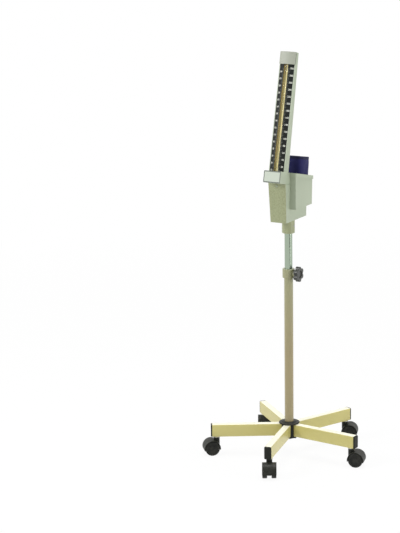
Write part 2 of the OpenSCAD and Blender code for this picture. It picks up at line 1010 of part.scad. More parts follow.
// Steel pot round the foot of the tube, with a nipple for the air hose
module reservoir() {
    color(steel)
        difference() {
            union() {
                at_tube(reservoir_low)
                    cylinder(d = reservoir_d + 2 * reservoir_wall, h = reservoir_high - reservoir_low);
                in_column()
                    translate([-17, nipple_y, nipple_z])
                        rotate([0, 90, 0])
                            cylinder(d = 3.4, h = 10);
            }
            at_tube(reservoir_low + 2)
                cylinder(d = reservoir_d, h = reservoir_high - reservoir_low);
            in_column()
                translate([-20, nipple_y, nipple_z])
                    rotate([0, 90, 0])
                        cylinder(d = 1.8, h = 16);
        }
}

// Lid of the reservoir, through which the tube passes
module reservoir_cap() {
    color(chrome)
        at_tube(reservoir_high)
            ring(reservoir_d + 2 * reservoir_wall + 2, tube_d + 0.4, reservoir_lid_t);
}

// Mercury in the reservoir and in the foot of the tube, level with the zero mark
module mercury() {
    color(chrome)
        difference() {
            at_tube(reservoir_low + 2)
                cylinder(d = reservoir_d, h = reservoir_high - reservoir_low - 2);
            difference() {
                at_tube(tube_low)
                    cylinder(d = tube_d, h = 60);
                at_tube(tube_low - 1)
                    cylinder(d = tube_bore, h = 60);
            }
            translate([-30, column_foot[1] - 40, mercury_level])
                cube([60, 80, 60]);
        }
}

// Points of a smooth curve through the hose's way
function hose_knot(k) = hose_way[max(0, min(len(hose_way) - 1, k))];

function hose_point(k, t) =
    let(a = hose_knot(k - 1), b = hose_knot(k), c = hose_knot(k + 1), d = hose_knot(k + 2))
    0.5 * (2 * b + (c - a) * t + (2 * a - 5 * b + 4 * c - d) * t * t
        + (3 * b - a - 3 * c + d) * t * t * t);

hose_line = concat([for (k = [0 : len(hose_way) - 2], t = [0 : hose_steps - 1])
    hose_point(k, t / hose_steps)], [hose_way[len(hose_way) - 1]]);

function unit(v) = v / norm(v);

function hose_ahead(k) = unit(hose_line[min(k + 1, len(hose_line) - 1)]
    - hose_line[max(k - 1, 0)]);

// Corners of one section through the hose, at right angles to its way
function hose_section(k, r) =
    let(ahead = hose_ahead(k), across = unit(cross(ahead, [0.35, 0.9, 0.25])),
        up = cross(across, ahead))
    [for (j = [0 : hose_sides - 1]) let(a = 360 * j / hose_sides)
        hose_line[k] + r * cos(a) * across + r * sin(a) * up];

// Soft hose inside the case, from the reservoir to the nozzle
module air_hose() {
    rows = len(hose_line);
    n = hose_sides;
    points = [for (k = [0 : rows - 1]) each hose_section(k, hose_d / 2)];
    sides = [for (k = [0 : rows - 2], j = [0 : n - 1])
        [k * n + j, k * n + (j + 1) % n, (k + 1) * n + (j + 1) % n, (k + 1) * n + j]];
    first = [[for (j = [n - 1 : -1 : 0]) j]];
    last = [[for (j = [0 : n - 1]) (rows - 1) * n + j]];
    color(rubber)
        difference() {
            polyhedron(points, concat(first, sides, last));
            in_column()
                translate([-17.2, nipple_y, nipple_z])
                    rotate([0, 90, 0])
                        cylinder(d = 3.5, h = 10);
            translate([hose_way[len(hose_way) - 1][0] - 1, nozzle_y, nozzle_z])
                rotate([0, 90, 0])
                    cylinder(d = 3.5, h = 7);
        }
}

// Nozzle for the cuff's hose, on the left flank of the case
module hose_nozzle() {
    wall_x = -flank(nozzle_z);
    color(chrome)
        translate([wall_x, nozzle_y, nozzle_z])
            rotate([0, -90, 0])
                difference() {
                    union() {
                        translate([0, 0, -8])
                            cylinder(d = 3.4, h = 8.1);
                        translate([0, 0, -2])
                            cylinder(d = 7, h = 2.3);
                        translate([0, 0, 0.15])
                            cylinder(d = 10, h = 2.35);
                        translate([0, 0, 2.4])
                            cylinder(d = 5.2, h = 12.1);
                        translate([0, 0, 14.4])
                            cylinder(d1 = 5.2, d2 = 4.2, h = 1.5);
                    }
                    translate([0, 0, -10])
                        cylinder(d = 2, h = 40);
                }
}

// ---------------------------------------------------------------- bin and cuff

// The bin's outer form from a level upwards, grown by the amount grow: upright walls in
// front and at the sides, and a back that leans with its round corners
module bin_form(grow, floor_z) {
    left = bin_x - bin_w / 2 - grow;
    right = bin_x + bin_w / 2 + grow;
    lean = atan(bin_lean / (rim_front - bin_bottom));
    intersection() {
        translate([0, 0, floor_z])
            linear_extrude(rim_front + 6 - floor_z)
                rounded_span(left, right, bin_front - grow, bin_back_low + 60,
                    max(1.5 + grow, 0.4));
        translate([0, bin_back_low, bin_bottom])
            rotate([-lean, 0, 0])
                translate([0, 0, -20])
                    linear_extrude(160)
                        rounded_span(left, right, bin_front - bin_back_low - 60, grow, 7 + grow);
    }
}

// The space above the bin's sloping rim, lowered by drop
module above_rim(drop) {
    translate([0, bin_front, rim_front - drop])
        rotate([-rim_slope, 0, 0])
            translate([-80, -20, 0])
                cube([160, 160, 60]);
}

// Open bin for the cuff, with a proud band round its rim and a low rib across its floor that
// keeps the cuff's foot off the place of the inflation bulb
module basket() {
    color(grey_green)
        difference() {
            union() {
                bin_form(0, bin_bottom);
                intersection() {
                    bin_form(lip_t, rim_back - 20);
                    above_rim(lip_h);
                }
            }
            difference() {
                bin_form(-bin_wall, bin_bottom + bin_wall);
                translate([bin_rib_x - 0.5, bin_front, bin_bottom])
                    cube([1, 120, bin_wall + bin_rib_h]);
            }
            above_rim(0);
            translate([-lip_gap - gap, bin_front - 10, 787])
                cube([2 * (lip_gap + gap), 10, 60]);
            bin_screw_places()
                translate([0, 0, -6])
                    cylinder(d = 3.4, h = 10);
        }
}

// Places of the screws that hold the bin on the case's foot
module bin_screw_places() {
    for (y = [-30, 52])
        translate([-16, y, bin_bottom + bin_wall])
            children();
}

// Places of the screws that hold the socket's flange, on the case's underside
module flange_screw_places() {
    for (sx = [-1, 1], sy = [-1, 1])
        translate([sx * 15.5, sy * 24.5, case_bottom])
            children();
}

// Small screws of the case: front cover, socket flange, bin and column cap
module case_screws() {
    color(steel) {
        at_cover_screw()
            pan_screw(3, 6, 1.8, 6);
        flange_screw_places()
            rotate([180, 0, 0])
                pan_screw(3, 6, 1.8, 6.5);
        bin_screw_places()
            pan_screw(3, 6, 1.8, 5);
        in_column()
            cap_screw_places()
                pan_screw(3, 6, 1.8, 4.5);
    }
}

// A point of a rounded rectangle of half-sizes a and b at angle t, as a smooth closed curve
function roll_point(a, b, t) =
    let(n = cuff_square, c = cos(t), s = sin(t), k = pow(pow(abs(c), n) + pow(abs(s), n), -1 / n))
    [a * k * c, b * k * s];

// The cuff's band as one spiral sheet, wound inwards from its outer end
module cuff_spiral() {
    pitch = cuff_layer + cuff_gap;
    steps = cuff_points * cuff_turns;
    outer = [for (k = [0 : steps]) let(draw = pitch * k / cuff_points)
        roll_point(cuff_w / 2 - draw, cuff_d / 2 - draw, 80 - 360 * k / cuff_points)];
    inner = [for (k = [steps : -1 : 0]) let(draw = pitch * k / cuff_points + cuff_layer)
        roll_point(cuff_w / 2 - draw, cuff_d / 2 - draw, 80 - 360 * k / cuff_points)];
    polygon(concat(outer, inner));
}

module cuff() {
    color(navy)
        translate(cuff_foot)
            rotate([-cuff_lean, 0, 0])
                linear_extrude(cuff_l)
                    cuff_spiral();
}

// ---------------------------------------------------------------- assembly

hub();
hub_cover();
hub_bolt();
leg(0);  // leg_1
leg(1);  // leg_2
leg(2);  // leg_3
leg(3);  // leg_4
leg(4);  // leg_5
leg_end_caps();
leg_screws();
caster_sockets();
outer_post();
clamp_collar();
collar_bush();
clamp_knob();
clamp_screw();
inner_post();
post_guide();
socket_tube();
socket_screw();
case_body();
front_cover();
nameplate_block();
nameplate();
column();
column_cap();
scale_plate_left();
scale_plate_right();
tube_backing();
glass_tube();
mercury();
reservoir();
reservoir_cap();
air_hose();
hose_nozzle();
top_vent();
tube_seals();
basket();
case_screws();
cuff();
caster_hood(0);  // caster_1_hood
caster_pins(0);  // caster_1_pins
caster_wheel(0, 1);  // caster_1_wheel_left
caster_wheel(0, -1);  // caster_1_wheel_right
caster_hood(1);  // caster_2_hood
caster_pins(1);  // caster_2_pins
caster_wheel(1, 1);  // caster_2_wheel_left
caster_wheel(1, -1);  // caster_2_wheel_right
caster_hood(2);  // caster_3_hood
caster_pins(2);  // caster_3_pins
caster_wheel(2, 1);  // caster_3_wheel_left
caster_wheel(2, -1);  // caster_3_wheel_right
caster_hood(3);  // caster_4_hood
caster_pins(3);  // caster_4_pins
caster_wheel(3, 1);  // caster_4_wheel_left
caster_wheel(3, -1);  // caster_4_wheel_right
caster_hood(4);  // caster_5_hood
caster_pins(4);  // caster_5_pins
caster_wheel(4, 1);  // caster_5_wheel_left
caster_wheel(4, -1);  // caster_5_wheel_right
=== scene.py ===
"""Mercury blood-pressure gauge on a castered stand: its visible model, finishes and studio."""
import json
import logging
import math
from dataclasses import dataclass, field
from enum import Enum
from typing import Any, Callable, Iterable, Iterator, Sequence

import bmesh
import bpy
from mathutils import Matrix, Vector, noise

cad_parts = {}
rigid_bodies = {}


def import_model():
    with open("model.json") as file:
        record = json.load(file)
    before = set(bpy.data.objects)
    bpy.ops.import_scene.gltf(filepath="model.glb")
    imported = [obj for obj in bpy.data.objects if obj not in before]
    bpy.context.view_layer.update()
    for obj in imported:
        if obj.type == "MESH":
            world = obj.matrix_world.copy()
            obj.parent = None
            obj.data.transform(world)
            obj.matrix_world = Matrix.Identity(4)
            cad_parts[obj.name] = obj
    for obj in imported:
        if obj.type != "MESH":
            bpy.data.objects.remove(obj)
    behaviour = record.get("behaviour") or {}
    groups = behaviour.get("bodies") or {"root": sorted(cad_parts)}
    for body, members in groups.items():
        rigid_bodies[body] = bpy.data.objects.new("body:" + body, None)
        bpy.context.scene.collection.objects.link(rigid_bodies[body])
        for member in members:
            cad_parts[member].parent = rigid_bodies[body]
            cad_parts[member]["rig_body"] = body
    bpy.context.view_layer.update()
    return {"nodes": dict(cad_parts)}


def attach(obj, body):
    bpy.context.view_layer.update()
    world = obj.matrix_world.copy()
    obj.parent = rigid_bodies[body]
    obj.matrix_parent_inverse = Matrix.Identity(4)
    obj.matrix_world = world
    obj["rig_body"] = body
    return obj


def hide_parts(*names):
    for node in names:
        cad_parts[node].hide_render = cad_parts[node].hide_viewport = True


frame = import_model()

LOG = logging.getLogger("stand_gauge")
# One millimetre, and the distances and the angle below which a copy is cleaned up
MM = 0.001
WELD = 0.004 * MM
SLIVER = 0.002 * MM
FLAT_DEGREES = 0.4
WHITE = (1.0, 1.0, 1.0, 1.0)
# The range that a noise texture mostly keeps to
MARK_RANGE = (0.3, 0.8)
Colour = tuple[float, float, float, float]
Tree = bpy.types.NodeTree
Socket = bpy.types.NodeSocket


def srgb(red: int, green: int, blue: int) -> Colour:
    """Turns an sRGB colour into the linear one that Blender's sockets take.

    Args:
        red: Red, from 0 to 255.
        green: Green, from 0 to 255.
        blue: Blue, from 0 to 255.

    Returns:
        The linear colour with an alpha of 1.
    """
    def linear(value: int) -> float:
        """Linear value of one channel."""
        part = value / 255
        return part / 12.92 if part <= 0.04045 else ((part + 0.055) / 1.055) ** 2.4

    return linear(red), linear(green), linear(blue), 1.0


# ------------------------------------------------------------------ node trees


@dataclass
class Net:
    """A node tree that nodes are added to with their settings and inputs in one call."""

    tree: Tree

    def feed(self, node: bpy.types.Node, **inputs: Any) -> None:
        """Sets inputs of a node to plain values, or links them to sockets.

        Args:
            node: The node.
            **inputs: A value or socket for each input, by its name with underscores for
                spaces, or by its place as in0, in1 and so on.
        """
        for name, value in inputs.items():
            by_place = name.startswith("in") and name[2:].isdigit()
            socket = node.inputs[int(name[2:]) if by_place else name.replace("_", " ")]
            if isinstance(value, bpy.types.NodeSocket):
                self.tree.links.new(value, socket)
            else:
                socket.default_value = value

    def add(self, kind: str, settings: dict[str, Any] | None = None,
            **inputs: Any) -> bpy.types.Node:
        """Adds a node.

        Args:
            kind: Blender's name of the node type.
            settings: Attributes of the node, set before its inputs.
            **inputs: Its inputs, as feed takes them.

        Returns:
            The node.
        """
        node = self.tree.nodes.new(kind)
        for name, value in (settings or {}).items():
            setattr(node, name, value)
        self.feed(node, **inputs)
        return node

    def effect(self, tree: Tree, **inputs: Any) -> bpy.types.Node:
        """Places a shared effect with values of its own and returns its node."""
        return self.add("ShaderNodeGroup", {"node_tree": tree}, **inputs)

    def math(self, operation: str, first: Any, second: Any = 0.5, third: Any = 0.5) -> Socket:
        """Adds a math node and returns its output."""
        return self.add("ShaderNodeMath", {"operation": operation},
                        in0=first, in1=second, in2=third).outputs[0]

    def noise(self, vector: Any, scale: Any, detail: float = 3.0) -> Socket:
        """Adds a noise texture and returns its grey output."""
        return self.add("ShaderNodeTexNoise", {}, Vector=vector, Scale=scale,
                        Detail=detail).outputs[0]

    def ramp(self, value: Any, low: float, high: float, out_low: float = 0.0,
             out_high: float = 1.0) -> Socket:
        """Maps a range of a value to another, clamped, and returns the output."""
        return self.add("ShaderNodeMapRange", {"clamp": True}, Value=value, in1=low, in2=high,
                        in3=out_low, in4=out_high).outputs[0]

    def blend(self, factor: Any, first: Any, second: Any, mode: str = "MIX") -> Socket:
        """Mixes two colours and returns the output."""
        return self.add("ShaderNodeMix", {"data_type": "RGBA", "blend_type": mode},
                        in0=factor, in6=first, in7=second).outputs[2]

    def bump(self, height: Any, strength: float, depth: float) -> Socket:
        """Adds a bump with a depth in metres and returns its normals."""
        return self.add("ShaderNodeBump", {}, Strength=strength, Distance=depth,
                        Height=height).outputs[0]

    def place(self) -> Socket:
        """Returns the surface's own coordinates, in metres."""
        return self.add("ShaderNodeTexCoord").outputs["Object"]

    def upward(self, vector: Any) -> Socket:
        """Returns the vertical part of a vector."""
        return self.add("ShaderNodeSeparateXYZ", {}, Vector=vector).outputs[2]

    def facing_up(self) -> Socket:
        """Returns how far the surface faces up, from -1 to 1."""
        return self.upward(self.add("ShaderNodeNewGeometry").outputs["Normal"])

    def seen(self) -> Socket:
        """Tells what is seen, also in mirrors and through glass, from what lights pieces.

        Returns:
            1 for what is seen and 0 for light.
        """
        rays = self.add("ShaderNodeLightPath").outputs
        direct = self.math("MAXIMUM", rays["Is Camera Ray"], rays["Is Glossy Ray"])
        return self.math("MAXIMUM", direct, rays["Is Transmission Ray"])

    def end_in_mix(self, end: str, share: Any, first: Socket, second: Socket) -> None:
        """Ends the tree in a mix of two shaders, where a share of 1 is the second alone."""
        mix = self.add("ShaderNodeMixShader", {}, in0=share, in1=first, in2=second)
        self.feed(self.tree.nodes[end], in0=mix.outputs[0])


def new_material(name: str) -> tuple[bpy.types.Material, Net, bpy.types.Node]:
    """Starts a material.

    Args:
        name: Its name.

    Returns:
        The material, its nodes and its shader.
    """
    material = bpy.data.materials.new(name)
    material.use_nodes = True
    net = Net(material.node_tree)
    return material, net, net.tree.nodes["Principled BSDF"]


class Kind(Enum):
    """Kinds of input and output that an effect has."""

    VALUE = "NodeSocketFloat"
    COLOUR = "NodeSocketColor"
    VECTOR = "NodeSocketVector"


def make_group(name: str, inputs: Sequence[tuple[str, Kind, Any]],
               outputs: Sequence[tuple[str, Kind]],
               fill: Callable[[Net, bpy.types.Node], dict[str, Socket]]) -> Tree:
    """Builds a shader node group.

    Args:
        name: Name of the group.
        inputs: Name, kind and default of each input.
        outputs: Name and kind of each output.
        fill: Adds the nodes, and returns the socket for each output.

    Returns:
        The group's node tree.
    """
    tree = bpy.data.node_groups.new(name, "ShaderNodeTree")
    for label, kind, default in inputs:
        socket = tree.interface.new_socket(label, in_out="INPUT", socket_type=kind.value)
        if default is not None:
            socket.default_value = default
    for label, kind in outputs:
        tree.interface.new_socket(label, in_out="OUTPUT", socket_type=kind.value)
    net = Net(tree)
    start = net.add("NodeGroupInput")
    end = net.add("NodeGroupOutput")
    net.feed(end, **fill(net, start))
    return tree


def fill_drift(net: Net, start: bpy.types.Node) -> dict[str, Socket]:
    """Slow drift of tone, as sprayed paint and mouldings have it.

    Args:
        net: The effect's nodes.
        start: Its inputs.

    Returns:
        The drifted colour.
    """
    broad_scale, fine_scale, broad_share, middle = 9.0, 160.0, 0.75, 0.5
    out = start.outputs
    fine = net.math("MULTIPLY", net.noise(out["Vector"], fine_scale, 2.0), 1 - broad_share)
    mixed = net.math("MULTIPLY_ADD", net.noise(out["Vector"], broad_scale, 2.0), broad_share,
                     fine)
    shade = net.math("MULTIPLY", net.math("SUBTRACT", mixed, middle), out["Amount"])
    return {"Colour": net.add("ShaderNodeHueSaturation", {}, Color=out["Colour"],
                              Value=net.math("ADD", shade, 1.0)).outputs[0]}


def fill_peel(net: Net, start: bpy.types.Node) -> dict[str, Socket]:
    """Orange peel of sprayed paint, with fine grit in it.

    Args:
        net: The effect's nodes.
        start: Its inputs.

    Returns:
        The height and the roughness.
    """
    grit_fineness, grit_share, grit_dulling, middle = 4.3, 0.22, 0.16, 0.5
    out = start.outputs
    soft = net.noise(out["Vector"], out["Scale"], 1.0)
    grit = net.noise(out["Vector"], net.math("MULTIPLY", out["Scale"], grit_fineness), 2.0)
    return {"Height": net.math("MULTIPLY_ADD", grit, grit_share, soft),
            "Roughness": net.math("MULTIPLY_ADD", net.math("SUBTRACT", grit, middle),
                                  grit_dulling, out["Roughness"])}


def fill_dust(net: Net, start: bpy.types.Node) -> dict[str, Socket]:
    """Dust that gathers low down and on what faces up, in specks.

    Args:
        net: The effect's nodes.
        start: Its inputs.

    Returns:
        The dusty colour.
    """
    dusty_height, low_share, top_share, steepest = 0.11, 0.55, 0.45, 0.5
    speck_scale, speck_detail, speck_from, speck_to = 75.0, 6.0, 0.42, 0.72
    out = start.outputs
    low = net.ramp(net.upward(out["Vector"]), dusty_height, 0.0, 0.0, low_share)
    top = net.ramp(net.facing_up(), steepest, 1.0, 0.0, top_share)
    speck = net.ramp(net.noise(out["Vector"], speck_scale, speck_detail), speck_from, speck_to)
    mask = net.math("MULTIPLY", net.math("MULTIPLY", net.math("ADD", low, top), speck),
                    out["Amount"])
    return {"Colour": net.blend(mask, out["Colour"], out["Dust"])}


def fill_weave(net: Net, start: bpy.types.Node) -> dict[str, Socket]:
    """Plain weave: two sets of threads, over and under each other.

    Args:
        net: The effect's nodes.
        start: Its inputs.

    Returns:
        The height.
    """
    out = start.outputs
    parts = net.add("ShaderNodeSeparateXYZ", {}, Vector=out["Vector"]).outputs

    def threads(part: Socket) -> tuple[Socket, Socket]:
        """Number of the thread at a point, and how high it arches there.

        Args:
            part: The coordinate across the threads.

        Returns:
            The number and the height.
        """
        count = net.math("MULTIPLY", part, out["Threads"])
        arch = net.math("SINE", net.math("MULTIPLY", count, math.pi))
        return net.math("FLOOR", count), net.math("ABSOLUTE", arch)

    (warp, warp_arch), (weft, weft_arch) = threads(parts[0]), threads(parts[1])
    check = net.math("PINGPONG", net.math("ADD", warp, weft), 1.0)
    over = net.math("MULTIPLY", warp_arch, check)
    under = net.math("MULTIPLY", weft_arch, net.math("SUBTRACT", 1.0, check))
    return {"Height": net.math("ADD", over, under)}


def fill_brush(net: Net, start: bpy.types.Node) -> dict[str, Socket]:
    """Fine marks of drawing and polishing along an upright tube.

    Args:
        net: The effect's nodes.
        start: Its inputs.

    Returns:
        The height and the roughness.
    """
    across, along, smoothest, dullest = 900.0, 14.0, 0.06, 0.22
    stretched = net.add("ShaderNodeMapping", {}, Vector=start.outputs["Vector"],
                        Scale=(across, across, along))
    marks = net.noise(stretched.outputs[0], 1.0)
    return {"Height": marks, "Roughness": net.ramp(marks, *MARK_RANGE, smoothest, dullest)}


@dataclass(frozen=True)
class Effects:
    """The shader effects that several finishes share."""

    drift: Tree
    peel: Tree
    dust: Tree
    weave: Tree
    brush: Tree

    @classmethod
    def build(cls) -> "Effects":
        """Makes every group once.

        Returns:
            The groups.
        """
        vector = ("Vector", Kind.VECTOR, None)
        colour = ("Colour", Kind.COLOUR, (0.5, 0.5, 0.5, 1.0))
        dust = ("Dust", Kind.COLOUR, srgb(170, 165, 150))
        relief = [("Height", Kind.VALUE), ("Roughness", Kind.VALUE)]
        return cls(
            drift=make_group("tone_drift", [vector, colour, ("Amount", Kind.VALUE, 0.3)],
                             [("Colour", Kind.COLOUR)], fill_drift),
            peel=make_group("orange_peel", [vector, ("Scale", Kind.VALUE, 300.0),
                                            ("Roughness", Kind.VALUE, 0.4)], relief, fill_peel),
            dust=make_group("settled_dust", [vector, colour, dust, ("Amount", Kind.VALUE, 0.5)],
                            [("Colour", Kind.COLOUR)], fill_dust),
            weave=make_group("plain_weave", [vector, ("Threads", Kind.VALUE, 1200.0)],
                             [("Height", Kind.VALUE)], fill_weave),
            brush=make_group("drawn_marks", [vector], relief, fill_brush),
        )


# ------------------------------------------------------------------ finishes


class Coat(Enum):
    """Kinds of surface that a painted or moulded finish can have."""

    GLOSS_PAINT = "gloss_paint"
    SATIN_PAINT = "satin_paint"
    HAMMERED_PAINT = "hammered_paint"
    MOULDED = "moulded"


@dataclass(frozen=True)
class Finish:
    """A finish with a colour of its own: paint or moulded plastic.

    The low colour takes over down the heights that fade gives, in metres, and the painted
    highlight of the top light on faces that look up by the shares that facing gives. The
    peel's depth is in metres.
    """

    name: str
    colour: Colour
    coat: Coat
    roughness: float = 0.4
    drift: float = 0.25
    dust: float = 0.0
    peel_scale: float = 420.0
    peel_depth: float = 0.00012
    bump: float = 0.06
    specular: float = 0.5
    coat_weight: float = 0.35
    coat_roughness: float = 0.12
    low_colour: Colour | None = None
    fade: tuple[float, float] = (0.62, 0.3)
    top_colour: Colour | None = None
    facing: tuple[float, float] = (0.6, 0.95)

    def make(self, effects: Effects) -> bpy.types.Material:
        """Builds the material.

        Args:
            effects: The shared shader effects.

        Returns:
            The material.
        """
        material, net, shader = new_material(self.name)
        place = net.place()
        colour = net.effect(effects.drift, Vector=place, Colour=self.base(net, place),
                            Amount=self.drift).outputs["Colour"]
        peel = net.effect(effects.peel, Vector=place, Scale=self.peel_scale,
                          Roughness=self.roughness).outputs
        height, depth = peel["Height"], self.peel_depth
        if self.coat is Coat.HAMMERED_PAINT:
            colour, height, depth = self.hammered(net, place, colour, height)
        if self.dust:
            colour = net.effect(effects.dust, Vector=place, Colour=colour,
                                Amount=self.dust).outputs["Colour"]
        net.feed(shader, Base_Color=colour, Roughness=peel["Roughness"],
                 Normal=net.bump(height, self.bump, depth), Specular_IOR_Level=self.specular)
        if self.coat in (Coat.GLOSS_PAINT, Coat.HAMMERED_PAINT):
            net.feed(shader, Coat_Weight=self.coat_weight, Coat_Roughness=self.coat_roughness)
        return material

    def base(self, net: Net, place: Socket) -> Any:
        """The colour before drift and dust.

        Args:
            net: The material's nodes.
            place: The surface's coordinates.

        Returns:
            A plain colour, or the socket of one that changes over the surface.
        """
        colour: Any = self.colour
        if self.low_colour:
            colour = net.blend(net.ramp(net.upward(place), *self.fade), colour, self.low_colour)
        # Painted highlight: faces that look up take the lighter top colour, as if lit from
        # above.
        if self.top_colour:
            colour = net.blend(net.ramp(net.facing_up(), *self.facing), colour, self.top_colour)
        return colour

    def hammered(self, net: Net, place: Socket, colour: Socket,
                 peel: Socket) -> tuple[Socket, Socket, float]:
        """Dimples of hammered paint, whose colour pools between them.

        Args:
            net: The material's nodes.
            place: The surface's coordinates.
            colour: The paint's colour.
            peel: Height of its orange peel.

        Returns:
            The colour, the height, and the depth of the dimples in metres.
        """
        dimple_scale, pool_scale, pool_share, rise, depth = 430.0, 260.0, 0.7, 1.6, 0.0006
        pool_tone, pool_from, pool_to = (0.74, 0.75, 0.7, 1.0), 0.55, 1.05
        cells = net.add("ShaderNodeTexVoronoi", {"feature": "SMOOTH_F1"}, Vector=place,
                        Scale=dimple_scale, Smoothness=0.8, Randomness=1.0).outputs[0]
        pits = net.math("MULTIPLY_ADD", net.noise(place, pool_scale, 2.0), pool_share, cells)
        darker = net.blend(1.0, colour, pool_tone, "MULTIPLY")
        return (net.blend(net.ramp(pits, pool_from, pool_to), colour, darker),
                net.math("MULTIPLY_ADD", pits, rise, peel), depth)


@dataclass(frozen=True)
class Metal:
    """A bare or plated metal, with fine marks where it is drawn."""

    name: str
    colour: Colour
    roughness: float = 0.2
    marks: float = 0.1
    mark_depth: float = 0.00003
    drift: float = 0.12
    drawn: bool = True

    def make(self, effects: Effects) -> bpy.types.Material:
        """Builds the material.

        Args:
            effects: The shared shader effects.

        Returns:
            The material.
        """
        material, net, shader = new_material(self.name)
        place = net.place()
        tone = net.effect(effects.drift, Vector=place, Colour=self.colour, Amount=self.drift)
        net.feed(shader, Metallic=1.0, Base_Color=tone.outputs["Colour"])
        if self.drawn:
            brush = net.effect(effects.brush, Vector=place).outputs
            net.feed(shader, Roughness=net.math("ADD", brush["Roughness"], self.roughness),
                     Normal=net.bump(brush["Height"], self.marks, self.mark_depth))
        else:
            net.feed(shader, Roughness=self.roughness)
        return material


@dataclass(frozen=True)
class Cloth:
    """Coated woven cloth, as cuffs are sewn from, with its threads counted per metre.

    The light colour is painted highlight on raised threads, and creases change the roughness.
    """

    name: str
    colour: Colour
    light: Colour
    threads: float = 1500.0
    bump: float = 0.35
    bump_depth: float = 0.0004
    drift: float = 0.4
    crease_scale: float = 60.0
    weave_share: float = 0.5
    raised: tuple[float, float] = (0.55, 1.0)
    raised_share: float = 0.35
    roughness: tuple[float, float] = (0.62, 0.84)
    specular: float = 0.25
    sheen: float = 0.1
    sheen_roughness: float = 0.4

    def make(self, effects: Effects) -> bpy.types.Material:
        """Builds the material.

        Args:
            effects: The shared shader effects.

        Returns:
            The material.
        """
        material, net, shader = new_material(self.name)
        places = net.add("ShaderNodeTexCoord").outputs
        weave = net.effect(effects.weave, Vector=places["UV"],
                           Threads=self.threads).outputs["Height"]
        tone = net.effect(effects.drift, Vector=places["Object"], Colour=self.colour,
                          Amount=self.drift).outputs["Colour"]
        creases = net.noise(places["Object"], self.crease_scale, 4.0)
        height = net.math("MULTIPLY_ADD", weave, self.weave_share, creases)
        # Painted highlight: raised threads take the light colour, as if lit.
        raised_highlight = net.ramp(weave, *self.raised, 0.0, self.raised_share)
        net.feed(shader, Base_Color=net.blend(raised_highlight, tone, self.light),
                 Roughness=net.ramp(creases, *MARK_RANGE, *self.roughness),
                 Normal=net.bump(height, self.bump, self.bump_depth),
                 Specular_IOR_Level=self.specular, Sheen_Weight=self.sheen,
                 Sheen_Roughness=self.sheen_roughness)
        return material


@dataclass(frozen=True)
class Glass:
    """Clear drawn tube.

    It bends light less than real glass does, so that the strip behind it shows as wide as in
    the photograph.
    """

    name: str
    bending: float = 1.16
    tint: Colour = (0.97, 0.99, 0.98, 1.0)
    shadow: Colour = (0.94, 0.96, 0.94, 1.0)
    roughness: tuple[float, float] = (0.01, 0.04)

    def make(self, effects: Effects) -> bpy.types.Material:
        """Builds the material, with faint draw lines along the tube.

        Args:
            effects: The shared shader effects.

        Returns:
            The material.
        """
        material, net, shader = new_material(self.name)
        brush = net.effect(effects.brush, Vector=net.place()).outputs["Height"]
        net.feed(shader, Base_Color=self.tint, Transmission_Weight=1.0, IOR=self.bending,
                 Roughness=net.ramp(brush, *MARK_RANGE, *self.roughness))
        clear = net.add("ShaderNodeBsdfTransparent", {}, Color=self.shadow)
        rays = net.add("ShaderNodeLightPath").outputs
        net.end_in_mix("Material Output", rays["Is Shadow Ray"], shader.outputs[0],
                       clear.outputs[0])
        return material


